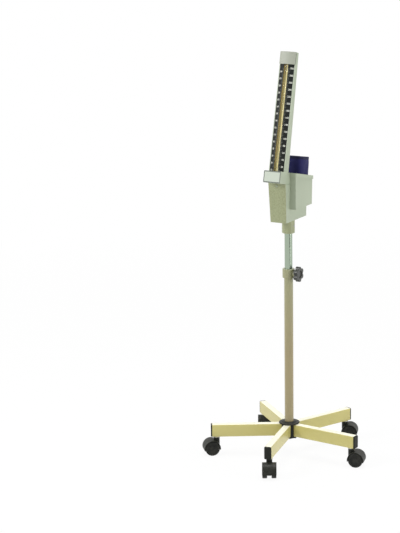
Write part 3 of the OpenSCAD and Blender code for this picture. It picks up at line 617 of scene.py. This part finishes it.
@dataclass
class Palette:
    """Every finish of the object, by a maker's plain name."""

    effects: Effects = field(default_factory=Effects.build)
    made: dict[str, bpy.types.Material] = field(default_factory=dict)

    def __post_init__(self) -> None:
        """Builds the materials."""
        for recipe in (*self.paints(), *self.mouldings(), *self.others()):
            self.made[recipe.name] = recipe.make(self.effects)

    @staticmethod
    def paints() -> list[Finish]:
        """The sprayed and printed finishes.

        Returns:
            Their recipes.
        """
        return [
            Finish("case_paint", srgb(174, 184, 161), Coat.SATIN_PAINT, 0.42, 0.16),
            Finish("hammered_paint", srgb(165, 171, 131), Coat.HAMMERED_PAINT, 0.34, 0.2,
                   bump=0.5),
            # The legs' lighter tops are a painted highlight of the light from above.
            Finish("leg_paint", srgb(203, 194, 124), Coat.GLOSS_PAINT, 0.3, 0.12, dust=0.1,
                   specular=0.4, coat_weight=0.2, top_colour=srgb(238, 236, 214)),
            Finish("post_paint", srgb(155, 160, 122), Coat.GLOSS_PAINT, 0.32, 0.14, dust=0.05,
                   low_colour=srgb(158, 145, 107)),
            Finish("scale_black", srgb(20, 24, 20), Coat.SATIN_PAINT, 0.34, 0.3, specular=0.25),
            Finish("scale_white", srgb(236, 238, 226), Coat.SATIN_PAINT, 0.5, 0.1),
            Finish("scale_grey", srgb(150, 154, 142), Coat.SATIN_PAINT, 0.5, 0.1),
            Finish("ochre_strip", srgb(184, 168, 114), Coat.SATIN_PAINT, 0.45, 0.2),
            Finish("bare_plate", srgb(190, 199, 184), Coat.SATIN_PAINT, 0.36, 0.1),
            # Painted shade for the block's front round the nameplate.
            Finish("plate_rim", srgb(104, 112, 102), Coat.SATIN_PAINT, 0.4, 0.2),
        ]

    @staticmethod
    def mouldings() -> list[Finish]:
        """The plastic and rubber finishes.

        Returns:
            Their recipes.
        """
        return [
            Finish("knob_moulding", srgb(46, 48, 43), Coat.MOULDED, 0.28, 0.4, dust=0.05,
                   peel_scale=900.0, bump=0.12, specular=0.6),
            Finish("black_nylon", srgb(28, 30, 25), Coat.MOULDED, 0.46, 0.5, dust=0.1,
                   peel_scale=900.0, bump=0.12, specular=0.2),
            Finish("wheel_nylon", srgb(20, 22, 18), Coat.MOULDED, 0.42, 0.5, dust=0.12,
                   peel_scale=700.0, bump=0.1, specular=0.25),
            Finish("pale_nylon", srgb(222, 218, 200), Coat.MOULDED, 0.5, 0.2),
            Finish("cap_moulding", srgb(160, 164, 149), Coat.MOULDED, 0.45, 0.16),
            Finish("black_rubber", srgb(34, 34, 33), Coat.MOULDED, 0.7, 0.3, dust=0.2),
        ]

    @staticmethod
    def others() -> list[Metal | Cloth | Glass]:
        """The metals, the cuff's cloths and the glass.

        Returns:
            Their recipes.
        """
        return [
            Metal("zinc_steel", srgb(176, 178, 178), 0.22, 0.2),
            Metal("chrome_plate", srgb(164, 178, 160), 0.04, 0.05),
            Metal("quicksilver", srgb(214, 216, 218), 0.03, drawn=False),
            Cloth("cuff_cloth", srgb(22, 22, 76), srgb(42, 44, 104)),
            Cloth("cuff_binding", srgb(15, 15, 48), srgb(30, 32, 78), 900.0),
            Cloth("stitch_thread", srgb(44, 46, 100), srgb(70, 72, 132), 3000.0),
            Glass("clear_glass"),
        ]

    def __getitem__(self, name: str) -> bpy.types.Material:
        """Returns the material of that name."""
        return self.made[name]


# ------------------------------------------------------------------ mesh helpers


def add_to_scene(name: str, data: bpy.types.ID) -> bpy.types.Object:
    """Makes an object of some data and links it to the scene.

    Args:
        name: The object's name.
        data: Its mesh, curve, camera or light.

    Returns:
        The object.
    """
    thing = bpy.data.objects.new(name, data)
    bpy.context.scene.collection.objects.link(thing)
    return thing


def to_mesh(name: str, shape: bmesh.types.BMesh) -> bpy.types.Mesh:
    """Turns a bmesh into mesh data and frees it.

    Args:
        name: Name of the data.
        shape: The shape.

    Returns:
        The data.
    """
    data = bpy.data.meshes.new(name)
    shape.to_mesh(data)
    shape.free()
    return data


def put_on_stage(name: str, shape: bmesh.types.BMesh, material: bpy.types.Material,
                 body: str, replaced: Iterable[str] = (), slot: str = "",
                 smooth_angle: float = 32.0) -> bpy.types.Object:
    """Turns a finished bmesh into a piece that rides on a body.

    Args:
        name: The piece's name.
        shape: The shape, in metres, where it stands at rest. It is freed.
        material: The finish.
        body: The CAD body that carries it.
        replaced: CAD nodes that it stands for.
        slot: The record's material slot. Not used.
        smooth_angle: Edges flatter than this are shaded smooth, in degrees.

    Returns:
        The object.
    """
    limit = math.radians(smooth_angle)
    for face in shape.faces:
        face.smooth = True
    for edge in shape.edges:
        edge.smooth = not (len(edge.link_faces) == 2 and edge.calc_face_angle(0.0) > limit)
    data = to_mesh(name, shape)
    data.materials.append(material)
    thing = add_to_scene(name, data)
    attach(thing, body)
    if replaced:
        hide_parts(*replaced)
    LOG.info("%s: %d faces on %s", name, len(data.polygons), body)
    return thing


def merged_copy(node: str) -> bmesh.types.BMesh:
    """A welded copy of a CAD node's mesh with its flat faces joined.

    Args:
        node: The node.

    Returns:
        The copy.
    """
    shape = bmesh.new()
    shape.from_mesh(frame["nodes"][node].data)
    bmesh.ops.remove_doubles(shape, verts=shape.verts, dist=WELD)
    bmesh.ops.dissolve_degenerate(shape, edges=shape.edges, dist=SLIVER)
    bmesh.ops.dissolve_limit(shape, angle_limit=math.radians(FLAT_DEGREES), verts=shape.verts,
                             edges=shape.edges)
    return shape


def joined(parts: Iterable[bmesh.types.BMesh]) -> bmesh.types.BMesh:
    """Puts several shapes in one bmesh and frees them.

    Args:
        parts: The shapes.

    Returns:
        The bmesh of them all.
    """
    whole = bmesh.new()
    for part in parts:
        data = to_mesh("part", part)
        whole.from_mesh(data)
        bpy.data.meshes.remove(data)
    return whole


# ------------------------------------------------------------------ sub-assemblies


@dataclass(frozen=True)
class Skin:
    """A copy with rounded edges that stands in for a CAD node.

    The rounding is edge millimetres wide and made in so many steps, on edges sharper than an
    angle in degrees.
    """

    node: str
    finish: str
    slot: str
    edge: float
    steps: int = 2
    sharp: float = 34.0

    def make(self, palette: Palette) -> bpy.types.Object:
        """Makes the copy, which rides on the node's body.

        Args:
            palette: The finishes.

        Returns:
            The piece.
        """
        body = frame["nodes"][self.node]["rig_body"]
        piece = put_on_stage(f"{self.node}_skin", merged_copy(self.node), palette[self.finish],
                             body, (self.node,), self.slot, self.sharp)
        bevel = piece.modifiers.new("broken_edges", "BEVEL")
        bevel.width = self.edge * MM
        bevel.segments = self.steps
        bevel.limit_method = "ANGLE"
        bevel.angle_limit = math.radians(self.sharp)
        bevel.use_clamp_overlap = True
        bevel.harden_normals = True
        return piece


@dataclass
class SubAssembly:
    """Nodes whose edges show, as rounded copies, and nodes that only get a finish."""

    palette: Palette

    def skins(self) -> Iterator[Skin]:
        """Yields the rounded copies."""
        yield from ()

    def plain(self) -> dict[str, str]:
        """Returns the finish of each node that stays as it is."""
        return {}

    def build(self) -> dict[str, bpy.types.Object]:
        """Makes the copies and dresses the rest.

        Returns:
            The copies, by their nodes.
        """
        pieces = {skin.node: skin.make(self.palette) for skin in self.skins()}
        for node, finish in self.plain().items():
            thing = frame["nodes"][node]
            thing.data.materials.clear()
            thing.data.materials.append(self.palette[finish])
        LOG.info("%s: %d pieces", type(self).__name__, len(pieces) + len(self.plain()))
        return pieces


@dataclass
class Stand(SubAssembly):
    """Hub, legs, posts and the clamp. Sizes in millimetres."""

    leg_count: int = 5
    leg_edge: float = 0.7
    post_edge: float = 0.4
    moulded_edge: float = 0.5
    plug_edge: float = 0.6
    knob_edge: float = 1.6
    knob_steps: int = 3

    def skins(self) -> Iterator[Skin]:
        """The rounded copies.

        Yields:
            Each copy.
        """
        for number in range(1, self.leg_count + 1):
            yield Skin(f"leg_{number}", "leg_paint", "leg_paint", self.leg_edge)
        yield Skin("hub", "black_nylon", "black_plastic", self.moulded_edge)
        yield Skin("hub_cover", "black_nylon", "black_plastic", self.moulded_edge)
        yield Skin("leg_end_caps", "black_nylon", "black_plastic", self.plug_edge)
        yield Skin("clamp_collar", "post_paint", "beige_paint", self.plug_edge)
        yield Skin("outer_post", "post_paint", "beige_paint", self.post_edge)
        yield Skin("inner_post", "chrome_plate", "chrome", self.post_edge)
        yield Skin("clamp_knob", "knob_moulding", "black_plastic", self.knob_edge,
                   self.knob_steps)

    def plain(self) -> dict[str, str]:
        """The nodes that stay as they are.

        Returns:
            The finish of each.
        """
        steel = dict.fromkeys(("hub_bolt", "leg_screws", "clamp_screw"), "zinc_steel")
        nylon = dict.fromkeys(("caster_sockets", "collar_bush", "post_guide"), "pale_nylon")
        return steel | nylon


@dataclass
class Casters(SubAssembly):
    """The five twin-wheel casters. Sizes in millimetres, angles in degrees."""

    count: int = 5
    hood_edge: float = 0.8
    hood_sharp: float = 30.0
    wheel_edge: float = 0.4
    wheel_sharp: float = 40.0

    def skins(self) -> Iterator[Skin]:
        """The rounded copies.

        Yields:
            Each copy.
        """
        for number in range(1, self.count + 1):
            yield Skin(f"caster_{number}_hood", "black_nylon", "black_plastic", self.hood_edge,
                       sharp=self.hood_sharp)
            for side in ("left", "right"):
                yield Skin(f"caster_{number}_wheel_{side}", "wheel_nylon", "wheel_plastic",
                           self.wheel_edge, sharp=self.wheel_sharp)

    def plain(self) -> dict[str, str]:
        """Returns the finish of each node that stays as it is."""
        return {f"caster_{number}_pins": "zinc_steel" for number in range(1, self.count + 1)}


@dataclass(frozen=True)
class ColumnFrame:
    """The leaning frame that the scale column is measured in.

    Sizes in millimetres and angles in degrees. The lands are the slanted faces that carry the
    scale plates, and the pitch is the height of one millimetre of mercury on the scale.
    """

    foot: tuple[float, float, float] = (0.0, -67.8, 839.0)
    lean: float = 13.3
    land_x: float = 22.0
    land_y: float = 0.3
    land_angle: float = 24.6
    slot_half: float = 6.3
    zero: float = -11.7
    bore: float = 3.5
    reservoir_bore: float = 19.0

    @property
    def pitch(self) -> float:
        """Height of one unit, less the fall of the level in the reservoir."""
        return 1 / (1 + (self.bore / self.reservoir_bore) ** 2)

    def matrix(self) -> Matrix:
        """Takes the column's coordinates, in metres, to the shared frame."""
        shift = Matrix.Translation(Vector(self.foot) * MM)
        return shift @ Matrix.Rotation(math.radians(-self.lean), 4, "X")

    def level(self, value: float) -> float:
        """Height of a pressure along the column, in millimetres."""
        return self.zero + value * self.pitch

    def on_land(self, side: int, across: float, height: float, lift: float) -> Matrix:
        """A frame on a scale plate: X across it to the right, Y up it and Z out of it.

        Args:
            side: -1 for the left plate and 1 for the right one.
            across: Distance from the tube's axis, in millimetres.
            height: Height along the column, in millimetres.
            lift: Distance out of the plate, in millimetres.

        Returns:
            The matrix, in metres.
        """
        slope = math.radians(self.land_angle)
        depth = self.land_y - (self.land_x - across) * math.tan(slope)
        spot = Matrix.Translation(Vector((side * across, depth, height)) * MM)
        turn = Matrix.Rotation(side * slope, 4, "Z") @ Matrix.Rotation(math.pi / 2, 4, "X")
        return self.matrix() @ spot @ turn @ Matrix.Translation((0, 0, lift * MM))


@dataclass
class Head(SubAssembly):
    """Case, bin, column, scale and what they hold. Sizes in millimetres."""

    column: ColumnFrame = field(default_factory=ColumnFrame)
    case_edge: float = 0.8
    sheet_edge: float = 0.7
    column_edge: float = 0.6
    socket_edge: float = 0.5
    plate_edge: float = 0.15
    strip_margin: float = 0.4
    facing_out: float = 0.98

    def skins(self) -> Iterator[Skin]:
        """The rounded copies.

        Yields:
            Each copy.
        """
        yield Skin("case_body", "case_paint", "case_paint", self.case_edge)
        yield Skin("front_cover", "hammered_paint", "hammered_paint", self.sheet_edge)
        yield Skin("nameplate_block", "case_paint", "case_paint", self.sheet_edge)
        yield Skin("nameplate", "bare_plate", "plain_plate", self.plate_edge)
        yield Skin("column", "case_paint", "case_paint", self.column_edge)
        yield Skin("column_cap", "cap_moulding", "case_paint", self.case_edge)
        yield Skin("basket", "case_paint", "case_paint", self.column_edge)
        yield Skin("socket_tube", "post_paint", "beige_paint", self.socket_edge)

    def plain(self) -> dict[str, str]:
        """The nodes that stay as they are.

        Returns:
            The finish of each.
        """
        steel = dict.fromkeys(("reservoir", "reservoir_cap", "top_vent", "socket_screw"),
                              "zinc_steel")
        scale = dict.fromkeys(("scale_plate_left", "scale_plate_right"), "scale_black")
        rubber = dict.fromkeys(("air_hose", "tube_seals"), "black_rubber")
        return steel | scale | rubber | {
            "tube_backing": "ochre_strip", "glass_tube": "clear_glass",
            "mercury": "quicksilver", "hose_nozzle": "chrome_plate",
            "case_screws": "case_paint"}

    def build(self) -> dict[str, bpy.types.Object]:
        """Makes the pieces, with painted shade round the plate and the ochre strip in the slot.

        Returns:
            The copies, by their nodes.
        """
        pieces = super().build()
        # Painted shade round the plate, standing in for the shadow in the gap beside it.
        self.second_finish(pieces["nameplate_block"], "plate_rim",
                           lambda middle, normal: -normal.y > self.facing_out)
        lining = self.column.slot_half + self.strip_margin
        self.second_finish(pieces["column"], "ochre_strip",
                           lambda middle, normal: abs(middle.x) < lining
                           and abs(normal.z) < 0.5 and normal.y < 0.5)
        return pieces

    def second_finish(self, piece: bpy.types.Object, finish: str,
                      chosen: Callable[[Vector, Vector], bool]) -> None:
        """Gives some faces of a piece another finish.

        Args:
            piece: The piece.
            finish: The other finish.
            chosen: Says whether a face gets it, from its middle in millimetres and its
                normal, both in the column's frame.
        """
        piece.data.materials.append(self.palette[finish])
        home = self.column.matrix().inverted()
        turn = home.to_3x3()
        for face in piece.data.polygons:
            if chosen(home @ face.center / MM, turn @ face.normal):
                face.material_index = 1


@dataclass
class ScaleMarks:
    """Graduations and numbers on the two scale plates. Sizes in millimetres.

    Distances across are from the tube's axis. A mark has its length across and its width.
    Marks below lowest are left out, because the plates end there.
    """

    palette: Palette
    column: ColumnFrame = field(default_factory=ColumnFrame)
    top_value: int = 300
    mark_step: int = 2
    long_step: int = 10
    number_step: int = 20
    first_numbers: tuple[int, int] = (10, 20)
    marks_across: float = 7.1
    long_mark: tuple[float, float] = (4.4, 0.5)
    short_mark: tuple[float, float] = (2.6, 0.3)
    mark_thickness: float = 0.08
    lift: float = 0.05
    numbers_across: float = 16.4
    number_size: float = 6.6
    number_half_thickness: float = 0.04
    number_weight: float = 0.1
    lowest: float = -4.0

    def mark(self, marks: bmesh.types.BMesh, side: int, height: float,
             size: tuple[float, float]) -> None:
        """Adds one graduation.

        Args:
            marks: The shape to add it to.
            side: -1 for the left plate and 1 for the right one.
            height: Its height along the column.
            size: Its length across, and its width.
        """
        length, width = size
        place = self.column.on_land(side, self.marks_across + length / 2, height, self.lift)
        slanted = length / math.cos(math.radians(self.column.land_angle))
        scale = Matrix.Diagonal(Vector((slanted, width, self.mark_thickness)) * MM).to_4x4()
        bmesh.ops.create_cube(marks, size=1.0, matrix=place @ scale)

    def marks(self, side: int) -> bmesh.types.BMesh:
        """All graduations of one plate.

        Args:
            side: -1 for the left plate and 1 for the right one.

        Returns:
            Their shape.
        """
        marks = bmesh.new()
        for value in range(0, self.top_value + 1, self.mark_step):
            height = self.column.level(value)
            if height >= self.lowest:
                long = value % self.long_step == 0
                self.mark(marks, side, height, self.long_mark if long else self.short_mark)
        return marks

    def number(self, value: int, place: Matrix) -> bmesh.types.BMesh:
        """A flat number, centred on a place.

        Args:
            value: The number.
            place: Where its middle goes.

        Returns:
            Its digits as thin solids.
        """
        curve = bpy.data.curves.new("number", "FONT")
        curve.body = str(value)
        curve.size = self.number_size * MM
        curve.align_x = "CENTER"
        curve.align_y = "CENTER"
        curve.extrude = self.number_half_thickness * MM
        curve.offset = self.number_weight * MM
        curve.resolution_u = 3
        digits = add_to_scene("number", curve)
        bpy.context.view_layer.update()
        data = bpy.data.meshes.new_from_object(
            digits.evaluated_get(bpy.context.evaluated_depsgraph_get()))
        shape = bmesh.new()
        shape.from_mesh(data)
        bpy.data.objects.remove(digits)
        bpy.data.meshes.remove(data)
        shape.transform(place)
        return shape

    def build(self) -> None:
        """Makes the marks and numbers of both plates."""
        for side, label, first in zip((-1, 1), ("left", "right"), self.first_numbers):
            numbers = [self.number(value, self.column.on_land(
                side, self.numbers_across, self.column.level(value), self.lift))
                for value in range(first, self.top_value + 1, self.number_step)]
            put_on_stage(f"scale_numbers_{label}", joined(numbers),
                         self.palette["scale_white"], "head", slot="scale_black")
            put_on_stage(f"scale_marks_{label}", self.marks(side),
                         self.palette["scale_grey"], "head", slot="scale_black")


# ------------------------------------------------------------------ cuff


@dataclass
class RolledCuff:
    """The cuff: one long sewn band, rolled up and stood in the bin.

    Sizes in millimetres and angles in degrees. The roll is a spiral drawn inwards on a
    rounded square, whose roundness is the power of its outline. A crease has its fineness per
    metre and its share of the depth.
    """

    palette: Palette
    foot: tuple[float, float, float] = (11.0, 12.4, 731.31)
    lean: float = 10.0
    width: float = 60.0
    depth: float = 60.0
    length: float = 132.0
    layer: float = 5.0
    hem_layer: float = 2.5
    gap: float = 0.6
    turns: int = 4
    start: float = 80.0
    steps: int = 44
    open_steps: int = 4
    hem: float = 8.0
    roundness: float = 5.0
    crease_depth: float = 0.9
    crease_bias: float = 0.3
    broad_crease: tuple[float, float] = (55.0, 0.5)
    fine_crease: tuple[float, float] = (130.0, 0.2)
    smooth_degrees: float = 70.0
    subdivisions: int = 1
    padding: float = 0.5
    stitch_pitch: float = 2.8
    stitch_half: tuple[float, float, float] = (1.05, 0.28, 0.28)
    stitch_lift: float = 1.28
    stitch_inset: float = 0.6

    def centre_point(self, step: int) -> Vector:
        """Middle of the band at a step of its spiral.

        Args:
            step: The step, from the roll's outer end.

        Returns:
            The point, in metres.
        """
        draw = (self.layer + self.gap) * step / self.steps + self.layer / 2
        angle = math.radians(self.start - 360 * step / self.steps)
        across, along, power = math.cos(angle), math.sin(angle), self.roundness
        reach = (abs(across) ** power + abs(along) ** power) ** (-1 / power)
        return Vector(((self.width / 2 - draw) * across * reach,
                       (self.depth / 2 - draw) * along * reach, 0)) * MM

    def section(self) -> list[tuple[float, float]]:
        """Outline across the band: a flat hem, its stitched groove, then the padding.

        Returns:
            The outline as (offset outwards, height) pairs in millimetres.
        """
        flat, padded, groove = self.hem_layer / 2, self.layer / 2, self.hem
        rise = [(0.0, 0.55 * flat), (0.9, flat), (groove - 1.2, flat), (groove, 0.86 * flat),
                (groove + 2.5, 0.78 * padded), (groove + 9.0, 0.97 * padded)]
        up = [*rise, (self.length / 2, padded),
              *((self.length - height, offset) for height, offset in reversed(rise))]
        return ([(offset, height) for height, offset in up]
                + [(-offset, height) for height, offset in reversed(up)])

    def placed(self, shape: bmesh.types.BMesh) -> bmesh.types.BMesh:
        """Leans a shape, stands it in the bin and returns it."""
        shape.transform(Matrix.Translation(Vector(self.foot) * MM)
                        @ Matrix.Rotation(math.radians(-self.lean), 4, "X"))
        return shape

    def station(self, step: int) -> Matrix:
        """Frame of the band at a step, with X outwards.

        Args:
            step: The step, from the roll's outer end.

        Returns:
            The matrix, in metres.
        """
        ahead = self.centre_point(step + 1) - self.centre_point(max(step - 1, 0))
        turn = math.atan2(ahead.y, ahead.x) + math.pi / 2
        return Matrix.Translation(self.centre_point(step)) @ Matrix.Rotation(turn, 4, "Z")

    def swept(self, outline: Sequence[tuple[float, float]], last: int) -> bmesh.types.BMesh:
        """Sweeps an outline along the spiral by extruding it step by step.

        Args:
            outline: The outline as (offset outwards, height) pairs in millimetres.
            last: The step at which it ends.

        Returns:
            The swept shape with a UV map in metres of cloth.
        """
        shape = bmesh.new()
        cloth = shape.loops.layers.uv.new("cloth")
        run = shape.verts.layers.float.new("run")
        home = self.station(0)
        ring = [shape.verts.new(home @ Vector((x * MM, 0, z * MM))) for x, z in outline]
        edges = [shape.edges.new(pair) for pair in zip(ring, ring[1:] + ring[:1])]
        shape.faces.new(ring)
        travelled = 0.0
        for step in range(1, last + 1):
            fresh = bmesh.ops.extrude_edge_only(shape, edges=edges)["geom"]
            verts = [part for part in fresh if isinstance(part, bmesh.types.BMVert)]
            edges = [part for part in fresh if isinstance(part, bmesh.types.BMEdge)]
            bmesh.ops.transform(shape, verts=verts,
                                matrix=self.station(step) @ self.station(step - 1).inverted())
            travelled += (self.centre_point(step) - self.centre_point(step - 1)).length
            for vert in verts:
                vert[run] = travelled
        bmesh.ops.holes_fill(shape, edges=edges, sides=0)
        for face in shape.faces:
            for loop in face.loops:
                loop[cloth].uv = (loop.vert[run], loop.vert.co.z)
        bmesh.ops.recalc_face_normals(shape, faces=shape.faces)
        return shape

    def is_padded(self, height: float) -> bool:
        """Whether a height in metres lies between the hems."""
        return self.hem * MM < height < (self.length - self.hem) * MM

    def crease(self, band: bmesh.types.BMesh) -> None:
        """Draws the padding in here and there, as a rolled band creases.

        Args:
            band: The band, upright about the roll's axis.
        """
        for vert in band.verts:
            spot = vert.co.copy()
            if self.is_padded(spot.z):
                wave = sum(noise.noise(spot * fineness) * share
                           for fineness, share in (self.broad_crease, self.fine_crease))
                outwards = Vector((spot.x, spot.y, 0)).normalized()
                vert.co -= outwards * max(0.0, self.crease_bias + wave) * self.crease_depth * MM

    def build(self) -> None:
        """Makes the band with its bound hems, and its stitching."""
        band = self.swept(self.section(), self.turns * self.steps - self.open_steps)
        self.crease(band)
        for face in band.faces:
            if not self.is_padded(face.calc_center_median().z):
                face.material_index = 1
        piece = put_on_stage("cuff_band", self.placed(band), self.palette["cuff_cloth"], "cuff",
                             ("cuff",), "fabric", self.smooth_degrees)
        piece.data.materials.append(self.palette["cuff_binding"])
        smooth = piece.modifiers.new("soft_cloth", "SUBSURF")
        smooth.levels = smooth.render_levels = self.subdivisions
        put_on_stage("cuff_stitching", self.placed(joined(self.stitches())),
                     self.palette["stitch_thread"], "cuff", slot="fabric")

    def stitches(self) -> Iterator[bmesh.types.BMesh]:
        """The stitches along both hems of the outer turn.

        Yields:
            Each stitch's shape.
        """
        for height in (self.hem - self.stitch_inset, self.length - self.hem + self.stitch_inset):
            walked, due = 0.0, 0.0
            for step in range(1, self.steps + 1):
                here, back = self.centre_point(step), self.centre_point(step - 1)
                reach = (here - back).length
                while due < walked + reach:
                    spot = back.lerp(here, (due - walked) / reach) + Vector((0, 0, height * MM))
                    yield self.stitch(spot, math.atan2(*(here - back).yx))
                    due += self.stitch_pitch * MM
                walked += reach

    def stitch(self, spot: Vector, turn: float) -> bmesh.types.BMesh:
        """One stitch on the outside of the band.

        Args:
            spot: Middle of the band there, in metres.
            turn: Heading of the band there, in radians.

        Returns:
            Its shape.
        """
        shape = bmesh.new()
        bmesh.ops.create_icosphere(shape, subdivisions=1, radius=1.0)
        shape.transform(Matrix.Translation(spot) @ Matrix.Rotation(turn, 4, "Z")
                        @ Matrix.Translation((0, self.stitch_lift * MM, 0))
                        @ Matrix.Diagonal(Vector(self.stitch_half) * MM).to_4x4())
        return shape


# ------------------------------------------------------------------ studio


@dataclass(frozen=True)
class Lamp:
    """A soft square lamp that points at the middle of the object: metres and watts."""

    name: str
    place: tuple[float, float, float]
    size: float
    power: float
    aim: tuple[float, float, float] = (0.0, 0.0, 0.55)

    def build(self) -> None:
        """Hangs the lamp."""
        light = bpy.data.lights.new(self.name, "AREA")
        light.size = self.size
        light.energy = self.power
        lamp = add_to_scene(self.name, light)
        lamp.location = self.place
        look = Vector(self.aim) - Vector(self.place)
        lamp.rotation_euler = look.to_track_quat("-Z", "Y").to_euler()


@dataclass(frozen=True)
class Studio:
    """Camera, floor and lights.

    Lengths in metres and angles in degrees, with headings from the post, from -Y towards +X.
    What ends in px is in pixels of the photograph. The dark card stands beside the camera,
    where only mirrors see it.
    """

    distance: float = 5.0
    height: float = 1.735
    place_heading: float = 27.5
    look_heading: float = 27.55
    pitch: float = 13.28
    roll: float = -0.26
    focal_px: float = 1824.0
    frame_px: tuple[int, int] = (400, 533)
    centre_px: tuple[float, float] = (287.0, 265.0)
    sensor_mm: float = 36.0
    clip_end: float = 200.0
    floor_radius: float = 40.0
    floor_grey: float = 0.8
    near_white: float = 0.93
    whitening: tuple[float, float] = (0.8, 3.0)
    ambient: float = 0.3
    card_heading: float = 62.0
    card_distance: float = 2.6
    card_size: tuple[float, float] = (0.9, 3.0)
    card_tone: Colour = (0.01, 0.012, 0.01, 1.0)
    lamps: tuple[Lamp, ...] = (
        Lamp("key_lamp", (-2.4, -2.8, 2.5), 1.4, 88.0),
        Lamp("side_lamp", (3.6, 0.0, 1.0), 2.0, 48.0),
        Lamp("top_lamp", (0.0, 0.3, 4.2), 2.4, 130.0),
    )

    def stand_at(self, heading: float, distance: float, height: float) -> Vector:
        """A place round the post.

        Args:
            heading: Its heading.
            distance: Its distance from the post.
            height: Its height.

        Returns:
            The place.
        """
        turn = math.radians(heading)
        return Vector((distance * math.sin(turn), -distance * math.cos(turn), height))

    def camera(self) -> None:
        """Sets the camera at the photograph's viewing angle."""
        long_side = max(self.frame_px)
        lens = bpy.data.cameras.new("camera")
        lens.sensor_width = self.sensor_mm
        lens.lens = self.focal_px * self.sensor_mm / long_side
        lens.shift_x = -(self.centre_px[0] - self.frame_px[0] / 2) / long_side
        lens.shift_y = (self.centre_px[1] - self.frame_px[1] / 2) / long_side
        lens.clip_end = self.clip_end
        camera = add_to_scene("camera", lens)
        camera.location = self.stand_at(self.place_heading, self.distance, self.height)
        look = (Matrix.Rotation(math.radians(self.look_heading), 3, "Z")
                @ Matrix.Rotation(math.radians(90 - self.pitch), 3, "X")
                @ Matrix.Rotation(math.radians(self.roll), 3, "Z"))
        camera.rotation_euler = look.to_euler()
        bpy.context.scene.camera = camera

    def floor(self) -> None:
        """Lays the white floor, which shows white and keeps a soft shadow."""
        shape = bmesh.new()
        bmesh.ops.create_circle(shape, cap_ends=True, radius=self.floor_radius, segments=64)
        material, net, shader = new_material("white_floor")
        net.feed(shader, Base_Color=(self.floor_grey,) * 3 + (1.0,), Roughness=0.9)
        white = net.add("ShaderNodeEmission", {}, Color=WHITE, Strength=1.0)
        away = net.add("ShaderNodeVectorMath", {"operation": "LENGTH"}, in0=net.place())
        shown = net.ramp(away.outputs["Value"], *self.whitening, self.near_white, 1.0)
        net.end_in_mix("Material Output", net.math("MULTIPLY", net.seen(), shown),
                       shader.outputs[0], white.outputs[0])
        floor = add_to_scene("floor", to_mesh("floor", shape))
        floor.data.materials.append(material)

    def world(self) -> None:
        """Lights the studio evenly, and shows it white."""
        world = bpy.data.worlds.new("studio")
        world.use_nodes = True
        net = Net(world.node_tree)
        even = net.tree.nodes["Background"]
        net.feed(even, Color=WHITE, Strength=self.ambient)
        white = net.add("ShaderNodeBackground", {}, Color=WHITE, Strength=1.0)
        net.end_in_mix("World Output", net.seen(), even.outputs[0], white.outputs[0])
        bpy.context.scene.world = world

    def dark_card(self) -> None:
        """Stands the dark card, which only mirrors see."""
        wide, high = self.card_size
        shape = bmesh.new()
        bmesh.ops.create_grid(shape, x_segments=1, y_segments=1, size=0.5)
        spot = self.stand_at(self.card_heading, self.card_distance, high / 2)
        shape.transform(Matrix.Translation(spot)
                        @ Matrix.Rotation(math.radians(self.card_heading), 4, "Z")
                        @ Matrix.Rotation(math.pi / 2, 4, "X")
                        @ Matrix.Diagonal((wide, high, 1, 1)))
        material, net, shader = new_material("dark_card")
        net.feed(shader, Base_Color=self.card_tone, Specular_IOR_Level=0.0)
        card = add_to_scene("dark_card", to_mesh("dark_card", shape))
        card.data.materials.append(material)
        card.visible_camera = False
        card.visible_diffuse = False
        card.visible_transmission = False
        card.visible_shadow = False

    def build(self) -> None:
        """Sets up the studio."""
        self.camera()
        self.floor()
        self.world()
        for lamp in self.lamps:
            lamp.build()
        self.dark_card()
        bpy.context.scene.view_settings.view_transform = "Standard"


def main() -> None:
    """Builds the whole scene."""
    logging.basicConfig(level=logging.INFO, format="%(name)s %(message)s")
    Studio().build()
    palette = Palette()
    for part in (Stand(palette), Casters(palette), Head(palette), ScaleMarks(palette),
                 RolledCuff(palette)):
        part.build()


if __name__ == "__main__":
    main()
